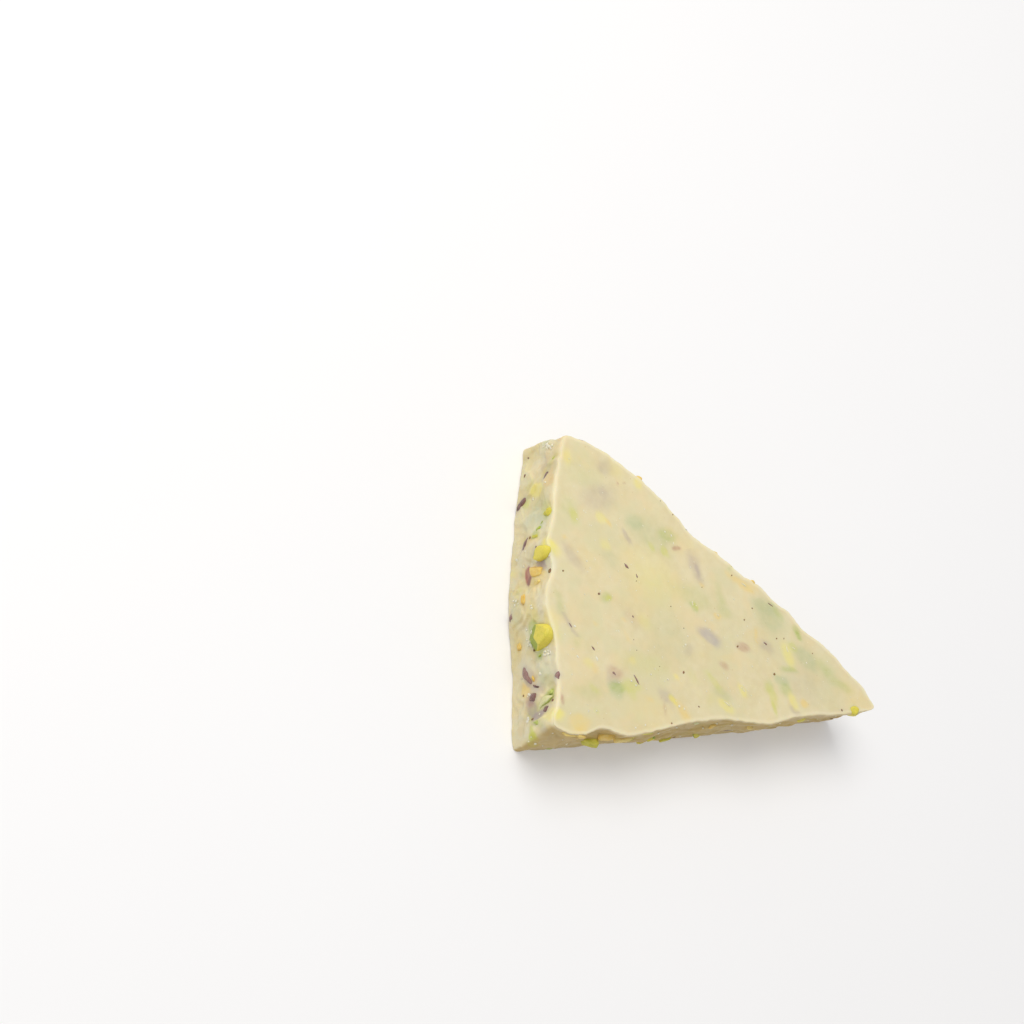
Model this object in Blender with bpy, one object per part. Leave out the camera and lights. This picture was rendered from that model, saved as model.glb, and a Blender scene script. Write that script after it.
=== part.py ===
"""A broken shard of thick white chocolate slab set with chopped pistachio, lying on its back face.

Run it with: blender --background --python part.py, or from Blender's text editor.

The slab was poured flat and snapped by hand, so the shard has two flat poured faces and three broken
sides. It is one closed solid, a loft from the outline of its back face to the unlike outline of its
front face. Each broken side is a straight chord between two corners, pushed out or in by what the break
left there. The solid rests on its back face, with the front face up.

Metres, +Z up. The origin is under the middle of the shard, on the surface that it rests on. +X runs
along the long bottom side, and +Y from there towards the apex.
"""

import bpy
import bmesh
import numpy as np

MM = 0.001

# Driving dimensions, in millimetres.
THICKNESS = 14.0
EDGE_RADIUS = 0.55  # where a poured face turns into a broken side
CORNER_SOFTNESS = 0.7  # how far the three corners are worn round
POINT_SPACING = 1.2  # along the outline
SIDE_STEPS = 9  # up each broken side
EDGE_STEPS = 2  # round each edge
FACE_RINGS = (0.93, 0.72, 0.4)  # of the way from the middle of the front face to its edge
FACE_SWELL = 0.12  # how far the front face rises and sinks as poured
FACE_STRETCH = 2.5  # its rises are this much wider than those of the broken sides
RELIEF_HEIGHT = 0.42  # of the broken sides, at mid height
RELIEF_AT_EDGES = 0.12
RELIEF_WAVES = 18
RELIEF_LENGTHS = (4.0, 12.0)  # the shortest and the longest wave of the relief
SEED = 7

# Corners as (x, y) from the lower left corner of the front face: lower left, right tip, apex.
FRONT_CORNERS = ((0.0, 0.0), (79.0, -1.9), (13.8, 55.7))
BACK_CORNERS = ((-0.4, -2.8), (78.0, -1.6), (13.7, 56.9))

# What the break left of each side: pairs of (distance along it from its first corner, push outwards).
# In turn the bottom side to the right tip, the long sloping side to the apex, and the left side.
FRONT_BREAKS = (
    ((0, 0), (1.5, 1.2), (6, 2.7), (11, 1.6), (16.5, 3.0), (23, 2.6), (30, 1.3),
     (44, 1.4), (50, 2.4), (58, 1.1), (72, 1.0), (79, 0)),
    ((0, 0), (4, 1.5), (10.4, 2.6), (19.9, 3.2), (23.6, 2.9), (26, 3.6), (31.9, 3.3),
     (34.8, 3.8), (40.4, 2.8), (44.2, 3.2), (52.3, 2.1), (61.9, 3.7), (68.7, 4.0),
     (76.8, 3.2), (82.2, 1.9), (87, 0)),
    ((0, 0), (4.3, 0.85), (9.6, 1.75), (18.8, 2.2), (23, 3.2), (26, 1.7), (31.8, 2.8),
     (35, 2.6), (39.5, 0.9), (45, 0.0), (52, -0.8), (57.4, 0)),
)
BACK_BREAKS = (
    ((0, 0), (20, 0.2), (36, 0.45), (56, 0.2), (78.4, 0)),
    ((0, 0), (6, 1.6), (20, 2.4), (33, 2.9), (48, 1.9), (62, 2.9), (72, 2.8), (80, 1.6), (87, 0)),
    ((0, 0), (3, 0.3), (8.6, 0.9), (13.5, 1.5), (24, 2.1), (32.3, 2.3), (38.6, 1.8),
     (48, 1.0), (58.6, 0.6), (61.4, 0)),
)

# Pieces of nut under a skin of chocolate: (side, distance along its front edge, height above the back
# face, radius of the rise, how far it stands out). Sides are counted as above, from 0.
LUMPS = (
    (0, 13.0, 8.0, 2.0, 1.8),
    (0, 18.5, 9.5, 2.2, 0.7),
    (0, 25.5, 8.0, 1.7, 0.6),
    (0, 30.0, 7.0, 1.8, 0.5),
    (0, 43.0, 6.0, 2.0, 0.4),
    (0, 62.0, 7.0, 1.6, 0.5),
    (1, 14.0, 6.0, 2.2, 0.8),
    (1, 27.0, 9.5, 2.4, 0.9),
    (1, 38.0, 5.0, 2.0, 0.7),
    (1, 54.0, 10.5, 2.2, 0.9),
    (1, 70.0, 6.5, 2.4, 0.8),
    (2, 9.0, 11.0, 1.8, 0.5),
    (2, 24.2, 12.3, 1.8, 0.5),
    (2, 27.5, 9.0, 2.2, 0.7),
    (2, 39.8, 11.3, 2.8, 0.9),
    (2, 50.0, 7.0, 2.0, 0.5),
)


def curve_through(pairs, at):
    """Values at the places at, on a smooth curve through the pairs: each stretch is a Hermite cubic."""
    x, y = np.array(pairs, float).T
    slope = np.gradient(y, x)
    i = np.clip(np.searchsorted(x, at, side="right") - 1, 0, len(x) - 2)
    span = x[i + 1] - x[i]
    t = (at - x[i]) / span
    return (
        y[i] * (2 * t**3 - 3 * t**2 + 1)
        + y[i + 1] * (3 * t**2 - 2 * t**3)
        + slope[i] * span * (t**3 - 2 * t**2 + t)
        + slope[i + 1] * span * (t**3 - t**2)
    )


def side_points(corners, breaks, side, share):
    """Points at the shares of one side's chord, pushed out of the chord by the break."""
    start = np.array(corners[side])
    chord = np.array(corners[(side + 1) % 3]) - start
    along = chord / np.linalg.norm(chord)
    outward = np.array((along[1], -along[0]))
    push = curve_through(breaks[side], share * breaks[side][-1][0])
    return start + share[:, None] * chord + push[:, None] * outward


def worn(points):
    """The closed outline, averaged along itself with a bell curve, which wears its corners round."""
    reach = int(np.ceil(3 * CORNER_SOFTNESS / POINT_SPACING))
    steps = np.arange(-reach, reach + 1)
    weights = np.exp(-0.5 * (steps * POINT_SPACING / CORNER_SOFTNESS) ** 2)
    weights /= weights.sum()
    return sum(weight * np.roll(points, step, axis=0) for weight, step in zip(weights, steps))


def outline(corners, breaks):
    """A poured face's closed outline, counter-clockwise from above. Both faces share out each side in
    the same number of steps, so their points pair up."""
    sides = []
    for side in range(3):
        count = round(FRONT_BREAKS[side][-1][0] / POINT_SPACING)
        sides.append(side_points(corners, breaks, side, np.arange(count) / count))
    return worn(np.concatenate(sides))


def outward_normals(points):
    """Unit normals of a closed counter-clockwise outline, in its plane."""
    along = np.roll(points, -1, axis=0) - np.roll(points, 1, axis=0)
    normal = np.stack((along[:, 1], -along[:, 0]), axis=1)
    return normal / np.linalg.norm(normal, axis=1, keepdims=True)


def relief(points):
    """Uneven heights of about -1 to 1: plane waves of many directions and lengths, added together."""
    rng = np.random.RandomState(SEED)
    direction = rng.normal(size=(RELIEF_WAVES, 3))
    direction /= np.linalg.norm(direction, axis=1, keepdims=True)
    shortest, longest = RELIEF_LENGTHS
    length = shortest * (longest / shortest) ** rng.uniform(size=RELIEF_WAVES)
    phase = rng.uniform(0, 2 * np.pi, RELIEF_WAVES)
    waves = np.sin(points @ (direction * (2 * np.pi / length)[:, None]).T + phase)
    return (waves * length).sum(axis=1) / (0.5 * length.sum())


def lump_push(points):
    """How far the lumps stand out of the broken sides at the points: a bell-shaped rise round each."""
    push = np.zeros(len(points))
    for side, distance, height, radius, stands_out in LUMPS:
        share = np.array([distance / FRONT_BREAKS[side][-1][0]])
        low = side_points(BACK_CORNERS, BACK_BREAKS, side, share)[0]
        high = side_points(FRONT_CORNERS, FRONT_BREAKS, side, share)[0]
        level = height / THICKNESS
        centre = np.append(low * (1 - level) + high * level, height)
        away = np.linalg.norm(points - centre, axis=1)
        push += stands_out * np.exp(-((away / radius) ** 2))
    return push


def side_ring(front, back, height):
    """The outline at a height up the broken sides, with the relief and the lumps."""
    level = height / THICKNESS
    flat = back * (1 - level) + front * level
    ring = np.column_stack((flat, np.full(len(flat), height)))
    roughness = RELIEF_AT_EDGES + (RELIEF_HEIGHT - RELIEF_AT_EDGES) * np.sin(np.pi * level)
    push = roughness * relief(ring) + lump_push(ring) * min(1.0, 4 * (1 - level), 4 * level)
    ring[:, :2] += push[:, None] * outward_normals(flat)
    return ring


def edge_rings(ring, upwards):
    """Rings that turn a broken side's last ring through a quarter circle into a poured face."""
    rings = []
    for angle in np.linspace(0, np.pi / 2, EDGE_STEPS + 1)[1:]:
        turned = ring.copy()
        turned[:, :2] -= EDGE_RADIUS * (1 - np.cos(angle)) * outward_normals(ring[:, :2])
        turned[:, 2] += upwards * EDGE_RADIUS * np.sin(angle)
        rings.append(turned)
    return rings


def face_rings(rim):
    """Rings across the front face, each the rim drawn in towards its middle, gently uneven as poured."""
    middle = rim.mean(axis=0)
    rings = []
    for share in FACE_RINGS:
        ring = middle + (rim - middle) * share
        ring[:, 2] += FACE_SWELL * relief(ring / FACE_STRETCH)
        rings.append(ring)
    return rings


def shard_rings():
    """Every ring of the loft, from the rim of the back face up to the innermost of the front face, in
    metres and with the middle of their box above the origin."""
    front = outline(FRONT_CORNERS, FRONT_BREAKS)
    back = outline(BACK_CORNERS, BACK_BREAKS)
    heights = np.linspace(EDGE_RADIUS, THICKNESS - EDGE_RADIUS, SIDE_STEPS + 1)
    sides = [side_ring(front, back, height) for height in heights]
    low_edge = edge_rings(sides[0], -1)[::-1]
    high_edge = edge_rings(sides[-1], 1)
    rings = low_edge + sides + high_edge + face_rings(high_edge[-1])
    points = np.concatenate(rings)
    middle = (points.min(axis=0) + points.max(axis=0)) / 2
    middle[2] = 0.0
    return [(ring - middle) * MM for ring in rings]


def loft(name, rings):
    """A closed mesh from the rings: a skin from each to the next, and a cap on both ends."""
    shape = bmesh.new()
    loops = [[shape.verts.new(point) for point in ring] for ring in rings]
    for lower, upper in zip(loops, loops[1:]):
        for i in range(len(lower)):
            j = (i + 1) % len(lower)
            shape.faces.new((lower[i], lower[j], upper[j], upper[i]))
    caps = [shape.faces.new(loops[0][::-1]), shape.faces.new(loops[-1])]
    bmesh.ops.triangulate(shape, faces=caps)
    mesh = bpy.data.meshes.new(name)
    shape.to_mesh(mesh)
    shape.free()
    mesh.shade_smooth()
    mesh.set_sharp_from_angle(angle=np.radians(38))
    return mesh


def white_chocolate():
    """Pale, waxy cream with a soft gloss."""
    material = bpy.data.materials.new("white_chocolate")
    material.use_nodes = True
    shader = material.node_tree.nodes["Principled BSDF"]
    shader.inputs["Base Color"].default_value = (0.76, 0.68, 0.42, 1.0)
    shader.inputs["Roughness"].default_value = 0.42
    shader.inputs["Metallic"].default_value = 0.0
    shader.inputs["Subsurface Weight"].default_value = 0.3
    return material


def main():
    for old in list(bpy.data.objects):
        bpy.data.objects.remove(old)
    collection = bpy.data.collections.new("white_chocolate_slab")
    bpy.context.scene.collection.children.link(collection)
    slab = bpy.data.objects.new("slab", loft("slab", shard_rings()))
    slab.data.materials.append(white_chocolate())
    collection.objects.link(slab)


if __name__ == "__main__":
    main()
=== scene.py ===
"""White chocolate slab: a broken shard of thick white chocolate set with chopped pistachio.

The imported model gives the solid. This file gives its looks: the poured and the broken faces, the nuts
that the break laid open, the ones that show through the chocolate, and a plain studio round it.
"""

import functools
import itertools
from typing import NamedTuple

import bpy
import numpy as np
from bpy.props import FloatProperty, FloatVectorProperty, IntProperty, PointerProperty
from mathutils import Matrix, Vector


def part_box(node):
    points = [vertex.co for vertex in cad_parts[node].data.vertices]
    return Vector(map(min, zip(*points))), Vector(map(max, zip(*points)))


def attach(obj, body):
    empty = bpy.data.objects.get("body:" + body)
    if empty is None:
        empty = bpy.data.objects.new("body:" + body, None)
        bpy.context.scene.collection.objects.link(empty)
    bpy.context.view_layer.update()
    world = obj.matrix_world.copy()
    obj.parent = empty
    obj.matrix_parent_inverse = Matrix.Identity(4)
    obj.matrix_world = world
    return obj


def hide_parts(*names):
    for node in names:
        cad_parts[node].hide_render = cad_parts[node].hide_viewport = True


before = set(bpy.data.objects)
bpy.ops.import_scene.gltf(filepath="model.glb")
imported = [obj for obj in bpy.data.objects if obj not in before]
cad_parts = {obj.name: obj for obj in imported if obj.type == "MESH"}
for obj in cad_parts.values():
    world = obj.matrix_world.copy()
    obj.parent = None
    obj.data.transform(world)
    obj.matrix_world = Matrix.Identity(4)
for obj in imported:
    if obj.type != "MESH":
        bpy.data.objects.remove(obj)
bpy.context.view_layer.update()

bl_info = {
    "name": "White Chocolate Slab",
    "version": (1, 0, 0),
    "blender": (4, 5, 0),
    "location": "3D View > Sidebar > Chocolate",
    "description": "Finishes a shard of white chocolate slab with pistachio and sets a studio round it",
    "category": "Object",
}

CAD_NODE = "slab"
BODY = "root"
MM = 0.001


# Shape of the slab, in millimetres from the lower left corner of its front face.

THICKNESS = 14.0
CORNER_SOFTNESS = 0.7
FACE_SWELL = 0.12
FACE_STRETCH = 2.5
RELIEF_HEIGHT = 0.42
RELIEF_AT_EDGES = 0.12
RELIEF_WAVES = 18
RELIEF_LENGTHS = (4.0, 12.0)
RELIEF_SEED = 7

# Corners as (x, y): lower left, right tip, apex.
FRONT_CORNERS = ((0.0, 0.0), (79.0, -1.9), (13.8, 55.7))
BACK_CORNERS = ((-0.4, -2.8), (78.0, -1.6), (13.7, 56.9))

# What the break left of each side: pairs of (distance along it from its first corner, push outwards).
# In turn the bottom side to the right tip, the long sloping side to the apex, and the left side.
BOTTOM, SLOPE, LEFT = range(3)
FRONT_BREAKS = (
    ((0, 0), (1.5, 1.2), (6, 2.7), (11, 1.6), (16.5, 3.0), (23, 2.6), (30, 1.3),
     (44, 1.4), (50, 2.4), (58, 1.1), (72, 1.0), (79, 0)),
    ((0, 0), (4, 1.5), (10.4, 2.6), (19.9, 3.2), (23.6, 2.9), (26, 3.6), (31.9, 3.3),
     (34.8, 3.8), (40.4, 2.8), (44.2, 3.2), (52.3, 2.1), (61.9, 3.7), (68.7, 4.0),
     (76.8, 3.2), (82.2, 1.9), (87, 0)),
    ((0, 0), (4.3, 0.85), (9.6, 1.75), (18.8, 2.2), (23, 3.2), (26, 1.7), (31.8, 2.8),
     (35, 2.6), (39.5, 0.9), (45, 0.0), (52, -0.8), (57.4, 0)),
)
BACK_BREAKS = (
    ((0, 0), (20, 0.2), (36, 0.45), (56, 0.2), (78.4, 0)),
    ((0, 0), (6, 1.6), (20, 2.4), (33, 2.9), (48, 1.9), (62, 2.9), (72, 2.8), (80, 1.6), (87, 0)),
    ((0, 0), (3, 0.3), (8.6, 0.9), (13.5, 1.5), (24, 2.1), (32.3, 2.3), (38.6, 1.8),
     (48, 1.0), (58.6, 0.6), (61.4, 0)),
)

# Pieces of nut under a skin of chocolate: (side, distance along its front edge, height above the back
# face, radius of the rise, how far it stands out).
LUMPS = (
    (BOTTOM, 13.0, 8.0, 2.0, 1.8),
    (BOTTOM, 18.5, 9.5, 2.2, 0.7),
    (BOTTOM, 25.5, 8.0, 1.7, 0.6),
    (BOTTOM, 30.0, 7.0, 1.8, 0.5),
    (BOTTOM, 43.0, 6.0, 2.0, 0.4),
    (BOTTOM, 62.0, 7.0, 1.6, 0.5),
    (SLOPE, 14.0, 6.0, 2.2, 0.8),
    (SLOPE, 27.0, 9.5, 2.4, 0.9),
    (SLOPE, 38.0, 5.0, 2.0, 0.7),
    (SLOPE, 54.0, 10.5, 2.2, 0.9),
    (SLOPE, 70.0, 6.5, 2.4, 0.8),
    (LEFT, 9.0, 11.0, 1.8, 0.5),
    (LEFT, 24.2, 12.3, 1.8, 0.5),
    (LEFT, 27.5, 9.0, 2.2, 0.7),
    (LEFT, 39.8, 11.3, 2.8, 0.9),
    (LEFT, 50.0, 7.0, 2.0, 0.5),
)

# The steps of the broken sides: their levels on either side of the middle, the size of a step in
# millimetres, and where in a level the rise starts and how much of the level it takes.
LEDGE_LEVELS = 2.2
LEDGE_SIZE = 7.5
LEDGE_FOOT = 0.36
LEDGE_RISE = 0.28

# The lowest and highest that any piece reaches, so that none passes through what the slab lies on.
LOWEST = 0.0
HIGHEST = 14.4

# The edge radius of the plain solid.
PLAIN_EDGE = 0.55

# How finely the visible surface follows that shape: the spacing round it in millimetres, and the rows up
# its sides, over each edge and over each poured face.
POINT_SPACING = 0.3
SIDE_ROWS = 54
EDGE_ROWS = 4
FRONT_ROWS = 56
BACK_ROWS = 10


def srgb(red, green, blue):
    """The linear colour of three values from 0 to 255."""
    share = np.array((red, green, blue)) / 255
    return tuple(np.where(share <= 0.04045, share / 12.92, ((share + 0.055) / 1.055) ** 2.4))


# What shows through the front face, by colour: (x, y, length, width, turn, cover, softness) of each patch,
# in millimetres from the lower left corner, with its turn in degrees and its cover from 0 to 1.
UNDER_FRONT = {
    "lilac": (
        (22.0, 49.1, 1.8, 1.2, -35, 0.42, 0.9), (19.0, 43.1, 4.0, 2.5, 11, 0.34, 1.2),
        (20.2, 44.0, 1.2, 1.0, -63, 0.26, 0.5), (24.2, 35.2, 2.0, 0.6, -69, 0.52, 0.3),
        (10.9, 31.5, 3.0, 1.0, -55, 0.4, 0.7), (39.7, 28.3, 3.0, 1.0, -78, 0.44, 0.8),
        (40.1, 28.1, 1.2, 0.4, -85, 0.5, 0.25), (7.5, 18.5, 2.8, 0.4, -64, 0.45, 0.35),
        (7.5, 18.6, 0.8, 0.3, -60, 0.5, 0.15), (15.6, 7.6, 1.6, 1.4, -19, 0.36, 0.8),
        (34.4, 12.4, 1.2, 1.2, -37, 0.26, 0.7), (27.2, 3.6, 2.1, 1.2, -38, 0.42, 0.8),
        (53.7, 12.0, 1.6, 0.8, -40, 0.4, 0.7), (58.2, -1.3, 1.8, 0.7, -39, 0.5, 0.3),
        (61.5, 4.0, 4.0, 3.0, -40, 0.14, 1.5),
    ),
    "blue": ((40.2, 14.7, 3.6, 1.6, -35, 0.62, 0.6),),
    "grey green": (
        (26.9, 38.0, 2.0, 1.5, -6, 0.5, 0.9), (30.5, 34.9, 4.5, 2.6, -28, 0.34, 1.4),
        (29.3, 15.7, 4.6, 3.6, -53, 0.22, 1.8), (15.7, 5.5, 2.6, 2.1, -43, 0.5, 0.6),
        (55.6, 17.9, 4.1, 2.8, -40, 0.46, 1.0), (54.9, 20.2, 2.5, 1.2, -26, 0.4, 0.8),
        (63.2, 9.1, 3.8, 2.1, -49, 0.55, 0.9), (55.9, 5.1, 2.1, 1.3, -23, 0.6, 0.5),
        (40.7, 3.3, 1.9, 0.9, -27, 0.4, 0.7), (19.5, 30.7, 2.0, 1.4, -32, 0.26, 0.9),
        (5.9, 21.2, 1.4, 1.0, -54, 0.24, 0.8), (48.0, 16.0, 5.0, 3.0, -40, 0.12, 1.8),
        (65.5, 3.5, 5.0, 3.0, -40, 0.16, 1.8),
    ),
    "green": (
        (34.2, 35.0, 2.3, 1.5, -1, 0.46, 0.8), (16.1, 5.9, 2.4, 1.2, -3, 0.5, 0.5),
        (17.0, 23.5, 1.7, 1.3, -2, 0.42, 0.5), (37.9, 22.8, 4.6, 2.0, -26, 0.24, 1.2),
        (37.5, 20.7, 1.3, 0.7, -49, 0.5, 0.3), (62.4, 13.8, 1.5, 0.7, -58, 0.85, 0.25),
        (62.1, 15.1, 1.0, 0.7, -52, 0.5, 0.5), (58.4, 7.1, 1.6, 0.5, -11, 0.55, 0.4),
        (56.7, 3.1, 1.6, 1.2, -31, 0.45, 0.7), (67.9, 6.4, 2.7, 0.9, -59, 0.36, 0.8),
        (71.6, 2.8, 2.0, 0.8, -33, 0.4, 0.6), (12.0, 41.4, 2.1, 1.6, -51, 0.24, 1.0),
        (8.9, 5.5, 2.8, 1.0, -11, 0.2, 0.9), (45.2, 19.1, 1.3, 1.1, -26, 0.22, 0.7),
        (5.9, 23.4, 1.4, 0.6, -82, 0.3, 0.6), (16.5, 48.4, 4.6, 3.0, -23, 0.12, 1.6),
        (58.0, 18.8, 1.8, 0.5, -60, 0.4, 0.4), (53.0, 4.0, 1.4, 0.9, -69, 0.3, 0.6),
    ),
    "lime": (
        (12.6, 39.6, 1.5, 0.8, -85, 0.6, 0.5), (32.8, 32.0, 1.3, 0.8, -64, 0.55, 0.4),
        (29.7, 33.1, 1.0, 0.6, -56, 0.45, 0.4), (17.4, 23.2, 0.8, 0.6, -39, 0.6, 0.3),
        (19.5, 5.9, 2.3, 1.3, -13, 0.46, 0.6), (19.4, 4.3, 1.4, 0.8, -60, 0.36, 0.5),
        (37.9, 20.9, 0.9, 0.5, -46, 0.6, 0.25), (53.1, 2.4, 2.7, 1.2, -69, 0.42, 0.6),
        (53.0, -0.5, 1.5, 0.6, -74, 0.62, 0.35), (39.2, 5.8, 2.1, 0.5, -57, 0.4, 0.5),
        (10.6, 6.0, 1.1, 0.5, -50, 0.4, 0.4), (60.6, 11.4, 1.5, 0.9, -53, 0.45, 0.4),
        (23.1, 10.2, 5.6, 1.9, -14, 0.16, 1.3), (10.3, 1.6, 0.6, 0.3, -63, 0.4, 0.25),
        (34.4, 6.8, 1.4, 0.9, -60, 0.2, 0.6), (28.6, 3.1, 1.0, 0.6, -60, 0.4, 0.3),
    ),
    "yellow": (
        (13.3, 51.1, 1.4, 0.9, -97, 0.5, 0.6), (24.1, 48.5, 1.8, 1.2, -41, 0.26, 0.9),
        (29.2, 45.7, 1.2, 0.9, -36, 0.6, 0.5), (18.9, 39.0, 1.8, 1.5, -57, 0.56, 0.4),
        (18.9, 33.5, 1.3, 0.9, -53, 0.4, 0.5), (6.8, 33.4, 1.9, 1.1, -41, 0.5, 0.6),
        (10.3, 11.1, 1.0, 0.8, -56, 0.42, 0.5), (20.4, 10.9, 0.8, 0.6, -52, 0.36, 0.4),
        (28.8, 2.5, 1.7, 0.9, -58, 0.66, 0.3), (30.4, 7.1, 1.0, 0.6, -46, 0.5, 0.25),
        (45.9, 3.6, 1.7, 1.1, -53, 0.6, 0.35), (41.0, 0.9, 2.9, 1.4, -38, 0.56, 0.4),
        (58.9, 9.9, 3.5, 1.6, -78, 0.62, 0.5), (58.1, 0.6, 2.3, 1.1, -72, 0.62, 0.45),
        (1.6, 1.7, 1.6, 1.4, -33, 0.6, 0.6), (28.1, 28.3, 4.8, 3.2, -28, 0.2, 1.8),
        (24.9, 18.3, 1.8, 1.4, -52, 0.26, 0.8), (30.0, 24.5, 4.0, 3.0, -28, 0.12, 1.8),
    ),
    "amber": (
        (20.4, 38.0, 1.0, 0.6, -56, 0.6, 0.3), (50.2, 25.0, 4.0, 0.8, -34, 0.55, 0.45),
        (43.0, 18.7, 1.1, 0.8, -9, 0.55, 0.3), (51.7, 14.3, 1.7, 0.5, -94, 0.62, 0.25),
        (60.8, 0.0, 1.4, 1.0, -46, 0.62, 0.3), (11.5, 9.8, 1.1, 0.7, -68, 0.42, 0.4),
        (40.3, 24.8, 0.6, 0.4, -36, 0.5, 0.3), (30.6, 0.6, 2.9, 0.8, -53, 0.4, 0.5),
        (30.9, -0.9, 2.0, 1.0, -60, 0.46, 0.5), (6.0, -0.1, 3.0, 2.3, -20, 0.56, 0.6),
        (22.5, 0.3, 4.0, 3.0, -37, 0.2, 1.6), (24.0, 23.3, 4.4, 3.0, -28, 0.14, 1.8),
        (13.4, 18.4, 0.5, 0.4, -38, 0.4, 0.3), (20.2, 18.8, 0.5, 0.4, -31, 0.5, 0.25),
        (9.8, 35.5, 0.5, 0.4, -36, 0.5, 0.3), (74.8, 0.4, 4.0, 2.0, -38, 0.24, 1.2),
        (14.5, 30.5, 3.4, 2.6, -36, 0.16, 1.4), (38.3, 33.4, 3.1, 1.2, -49, 0.16, 1.0),
        (20.4, 15.5, 1.0, 0.3, -56, 0.3, 0.3), (23.1, 3.2, 0.9, 0.3, -30, 0.3, 0.3),
    ),
    "rose": (
        (36.0, 32.3, 1.3, 0.6, -2, 0.6, 0.25), (16.3, 8.9, 2.0, 1.2, -19, 0.36, 0.6),
        (42.3, 8.7, 1.2, 0.7, -41, 0.4, 0.4), (22.3, 19.1, 2.0, 1.2, -50, 0.16, 0.9),
        (47.8, 12.1, 2.0, 1.2, -23, 0.5, 0.4), (26.4, 1.2, 0.9, 0.3, -90, 0.3, 0.3),
        (2.9, 4.6, 1.1, 0.4, -78, 0.6, 0.2), (24.3, 45.6, 0.3, 0.2, 0, 0.5, 0.15),
        (26.1, 45.7, 0.3, 0.2, 0, 0.5, 0.15),
    ),
}

# The same for the broken sides: (side, distance, height, length, breadth, turn, cover, softness).
UNDER_SIDES = {
    "milk": (
        (LEFT, 16.6, 7.6, 4.6, 3.2, 60, 0.5, 1.0), (LEFT, 26.2, 13.0, 2.4, 2.4, 78, 0.6, 0.5),
        (LEFT, 38.6, 7.2, 2.6, 3.0, 70, 0.5, 0.6), (LEFT, 44.5, 11.0, 3.6, 3.2, 20, 0.4, 0.9),
        (LEFT, 54.2, 3.2, 3.4, 3.2, 40, 0.45, 0.9), (LEFT, 34.6, 10.8, 3.4, 3.0, 30, 0.3, 0.9),
        (LEFT, 43.5, 5.0, 3.0, 3.0, 10, 0.3, 0.9), (LEFT, 24.0, 7.6, 3.0, 3.0, 10, 0.3, 0.9),
    ),
    "beige": (
        (LEFT, 9.2, 12.0, 2.9, 2.5, 76, 0.8, 0.2), (LEFT, 7.7, 11.6, 1.3, 2.0, 76, 0.7, 0.25),
        (LEFT, 20.6, 6.8, 1.5, 1.2, 126, 0.6, 0.3), (LEFT, 54.2, 3.4, 2.2, 2.4, 40, 0.3, 0.5),
        (LEFT, 2.6, 11.6, 3.6, 3.0, 60, 0.3, 0.9), (BOTTOM, 8.8, 9.6, 4.8, 1.6, -12, 0.7, 0.3),
    ),
    "yellow": (
        (LEFT, 9.8, 7.5, 4.2, 2.0, 80, 0.62, 0.4), (LEFT, 22.9, 14.0, 2.2, 1.6, 60, 0.6, 0.5),
        (LEFT, 55.2, 13.2, 2.0, 3.0, 0, 0.4, 0.5), (LEFT, 38.6, 13.6, 4.4, 1.4, 0, 0.3, 0.6),
        (LEFT, 35.0, 8.6, 3.0, 2.4, 40, 0.26, 0.9),
    ),
    "amber": (
        (LEFT, 47.7, 4.6, 2.4, 2.2, 54, 0.55, 0.4), (LEFT, 33.5, 9.4, 3.4, 1.6, 20, 0.26, 0.8),
        (LEFT, 12.8, 9.4, 2.8, 2.2, 30, 0.22, 0.9), (BOTTOM, 6.0, 12.4, 4.6, 1.6, -3, 0.5, 0.5),
    ),
    "lime": (
        (LEFT, 56.8, 7.2, 3.2, 1.8, 10, 0.62, 0.35), (LEFT, 57.3, 7.2, 1.6, 1.4, 15, 0.7, 0.2),
        (LEFT, 58.4, 5.4, 2.2, 1.6, 126, 0.7, 0.3), (LEFT, 11.7, 3.3, 1.2, 1.4, 163, 0.4, 0.5),
        (LEFT, 14.6, 11.4, 2.0, 1.6, 120, 0.3, 0.6),
    ),
    "green": (
        (LEFT, 19.4, 8.6, 1.8, 1.2, 80, 0.4, 0.4), (LEFT, 37.2, 8.0, 2.4, 2.4, 110, 0.5, 0.5),
        (LEFT, 42.4, 9.6, 1.8, 1.4, 105, 0.4, 0.4), (LEFT, 51.0, 11.6, 2.0, 1.6, 119, 0.3, 0.5),
    ),
    "grey green": (
        (LEFT, 14.0, 8.6, 4.4, 3.0, 120, 0.3, 1.0), (LEFT, 40.4, 8.4, 2.4, 2.2, 20, 0.4, 0.6),
        (LEFT, 33.0, 3.4, 3.4, 2.4, 20, 0.2, 0.9), (LEFT, 47.4, 10.6, 3.0, 2.6, 20, 0.26, 0.9),
    ),
    "lilac": (
        (LEFT, 24.7, 10.4, 3.6, 2.2, 31, 0.62, 0.35), (LEFT, 25.6, 11.1, 2.0, 0.9, 31, 0.5, 0.2),
        (LEFT, 51.9, 6.9, 3.0, 2.2, 36, 0.55, 0.45), (LEFT, 53.8, 9.0, 3.6, 1.4, 100, 0.75, 0.2),
        (LEFT, 48.8, 8.6, 2.0, 2.0, 40, 0.3, 0.6), (LEFT, 45.8, 5.9, 3.6, 1.8, 33, 0.34, 0.5),
    ),
    "rose": (
        (LEFT, 27.0, 6.9, 3.7, 2.6, 20, 0.86, 0.22), (LEFT, 49.9, 6.4, 2.4, 1.4, 31, 0.3, 0.4),
    ),
    "plum": ((LEFT, 28.2, 7.2, 1.5, 1.6, 60, 0.6, 0.2),),
}

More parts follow.
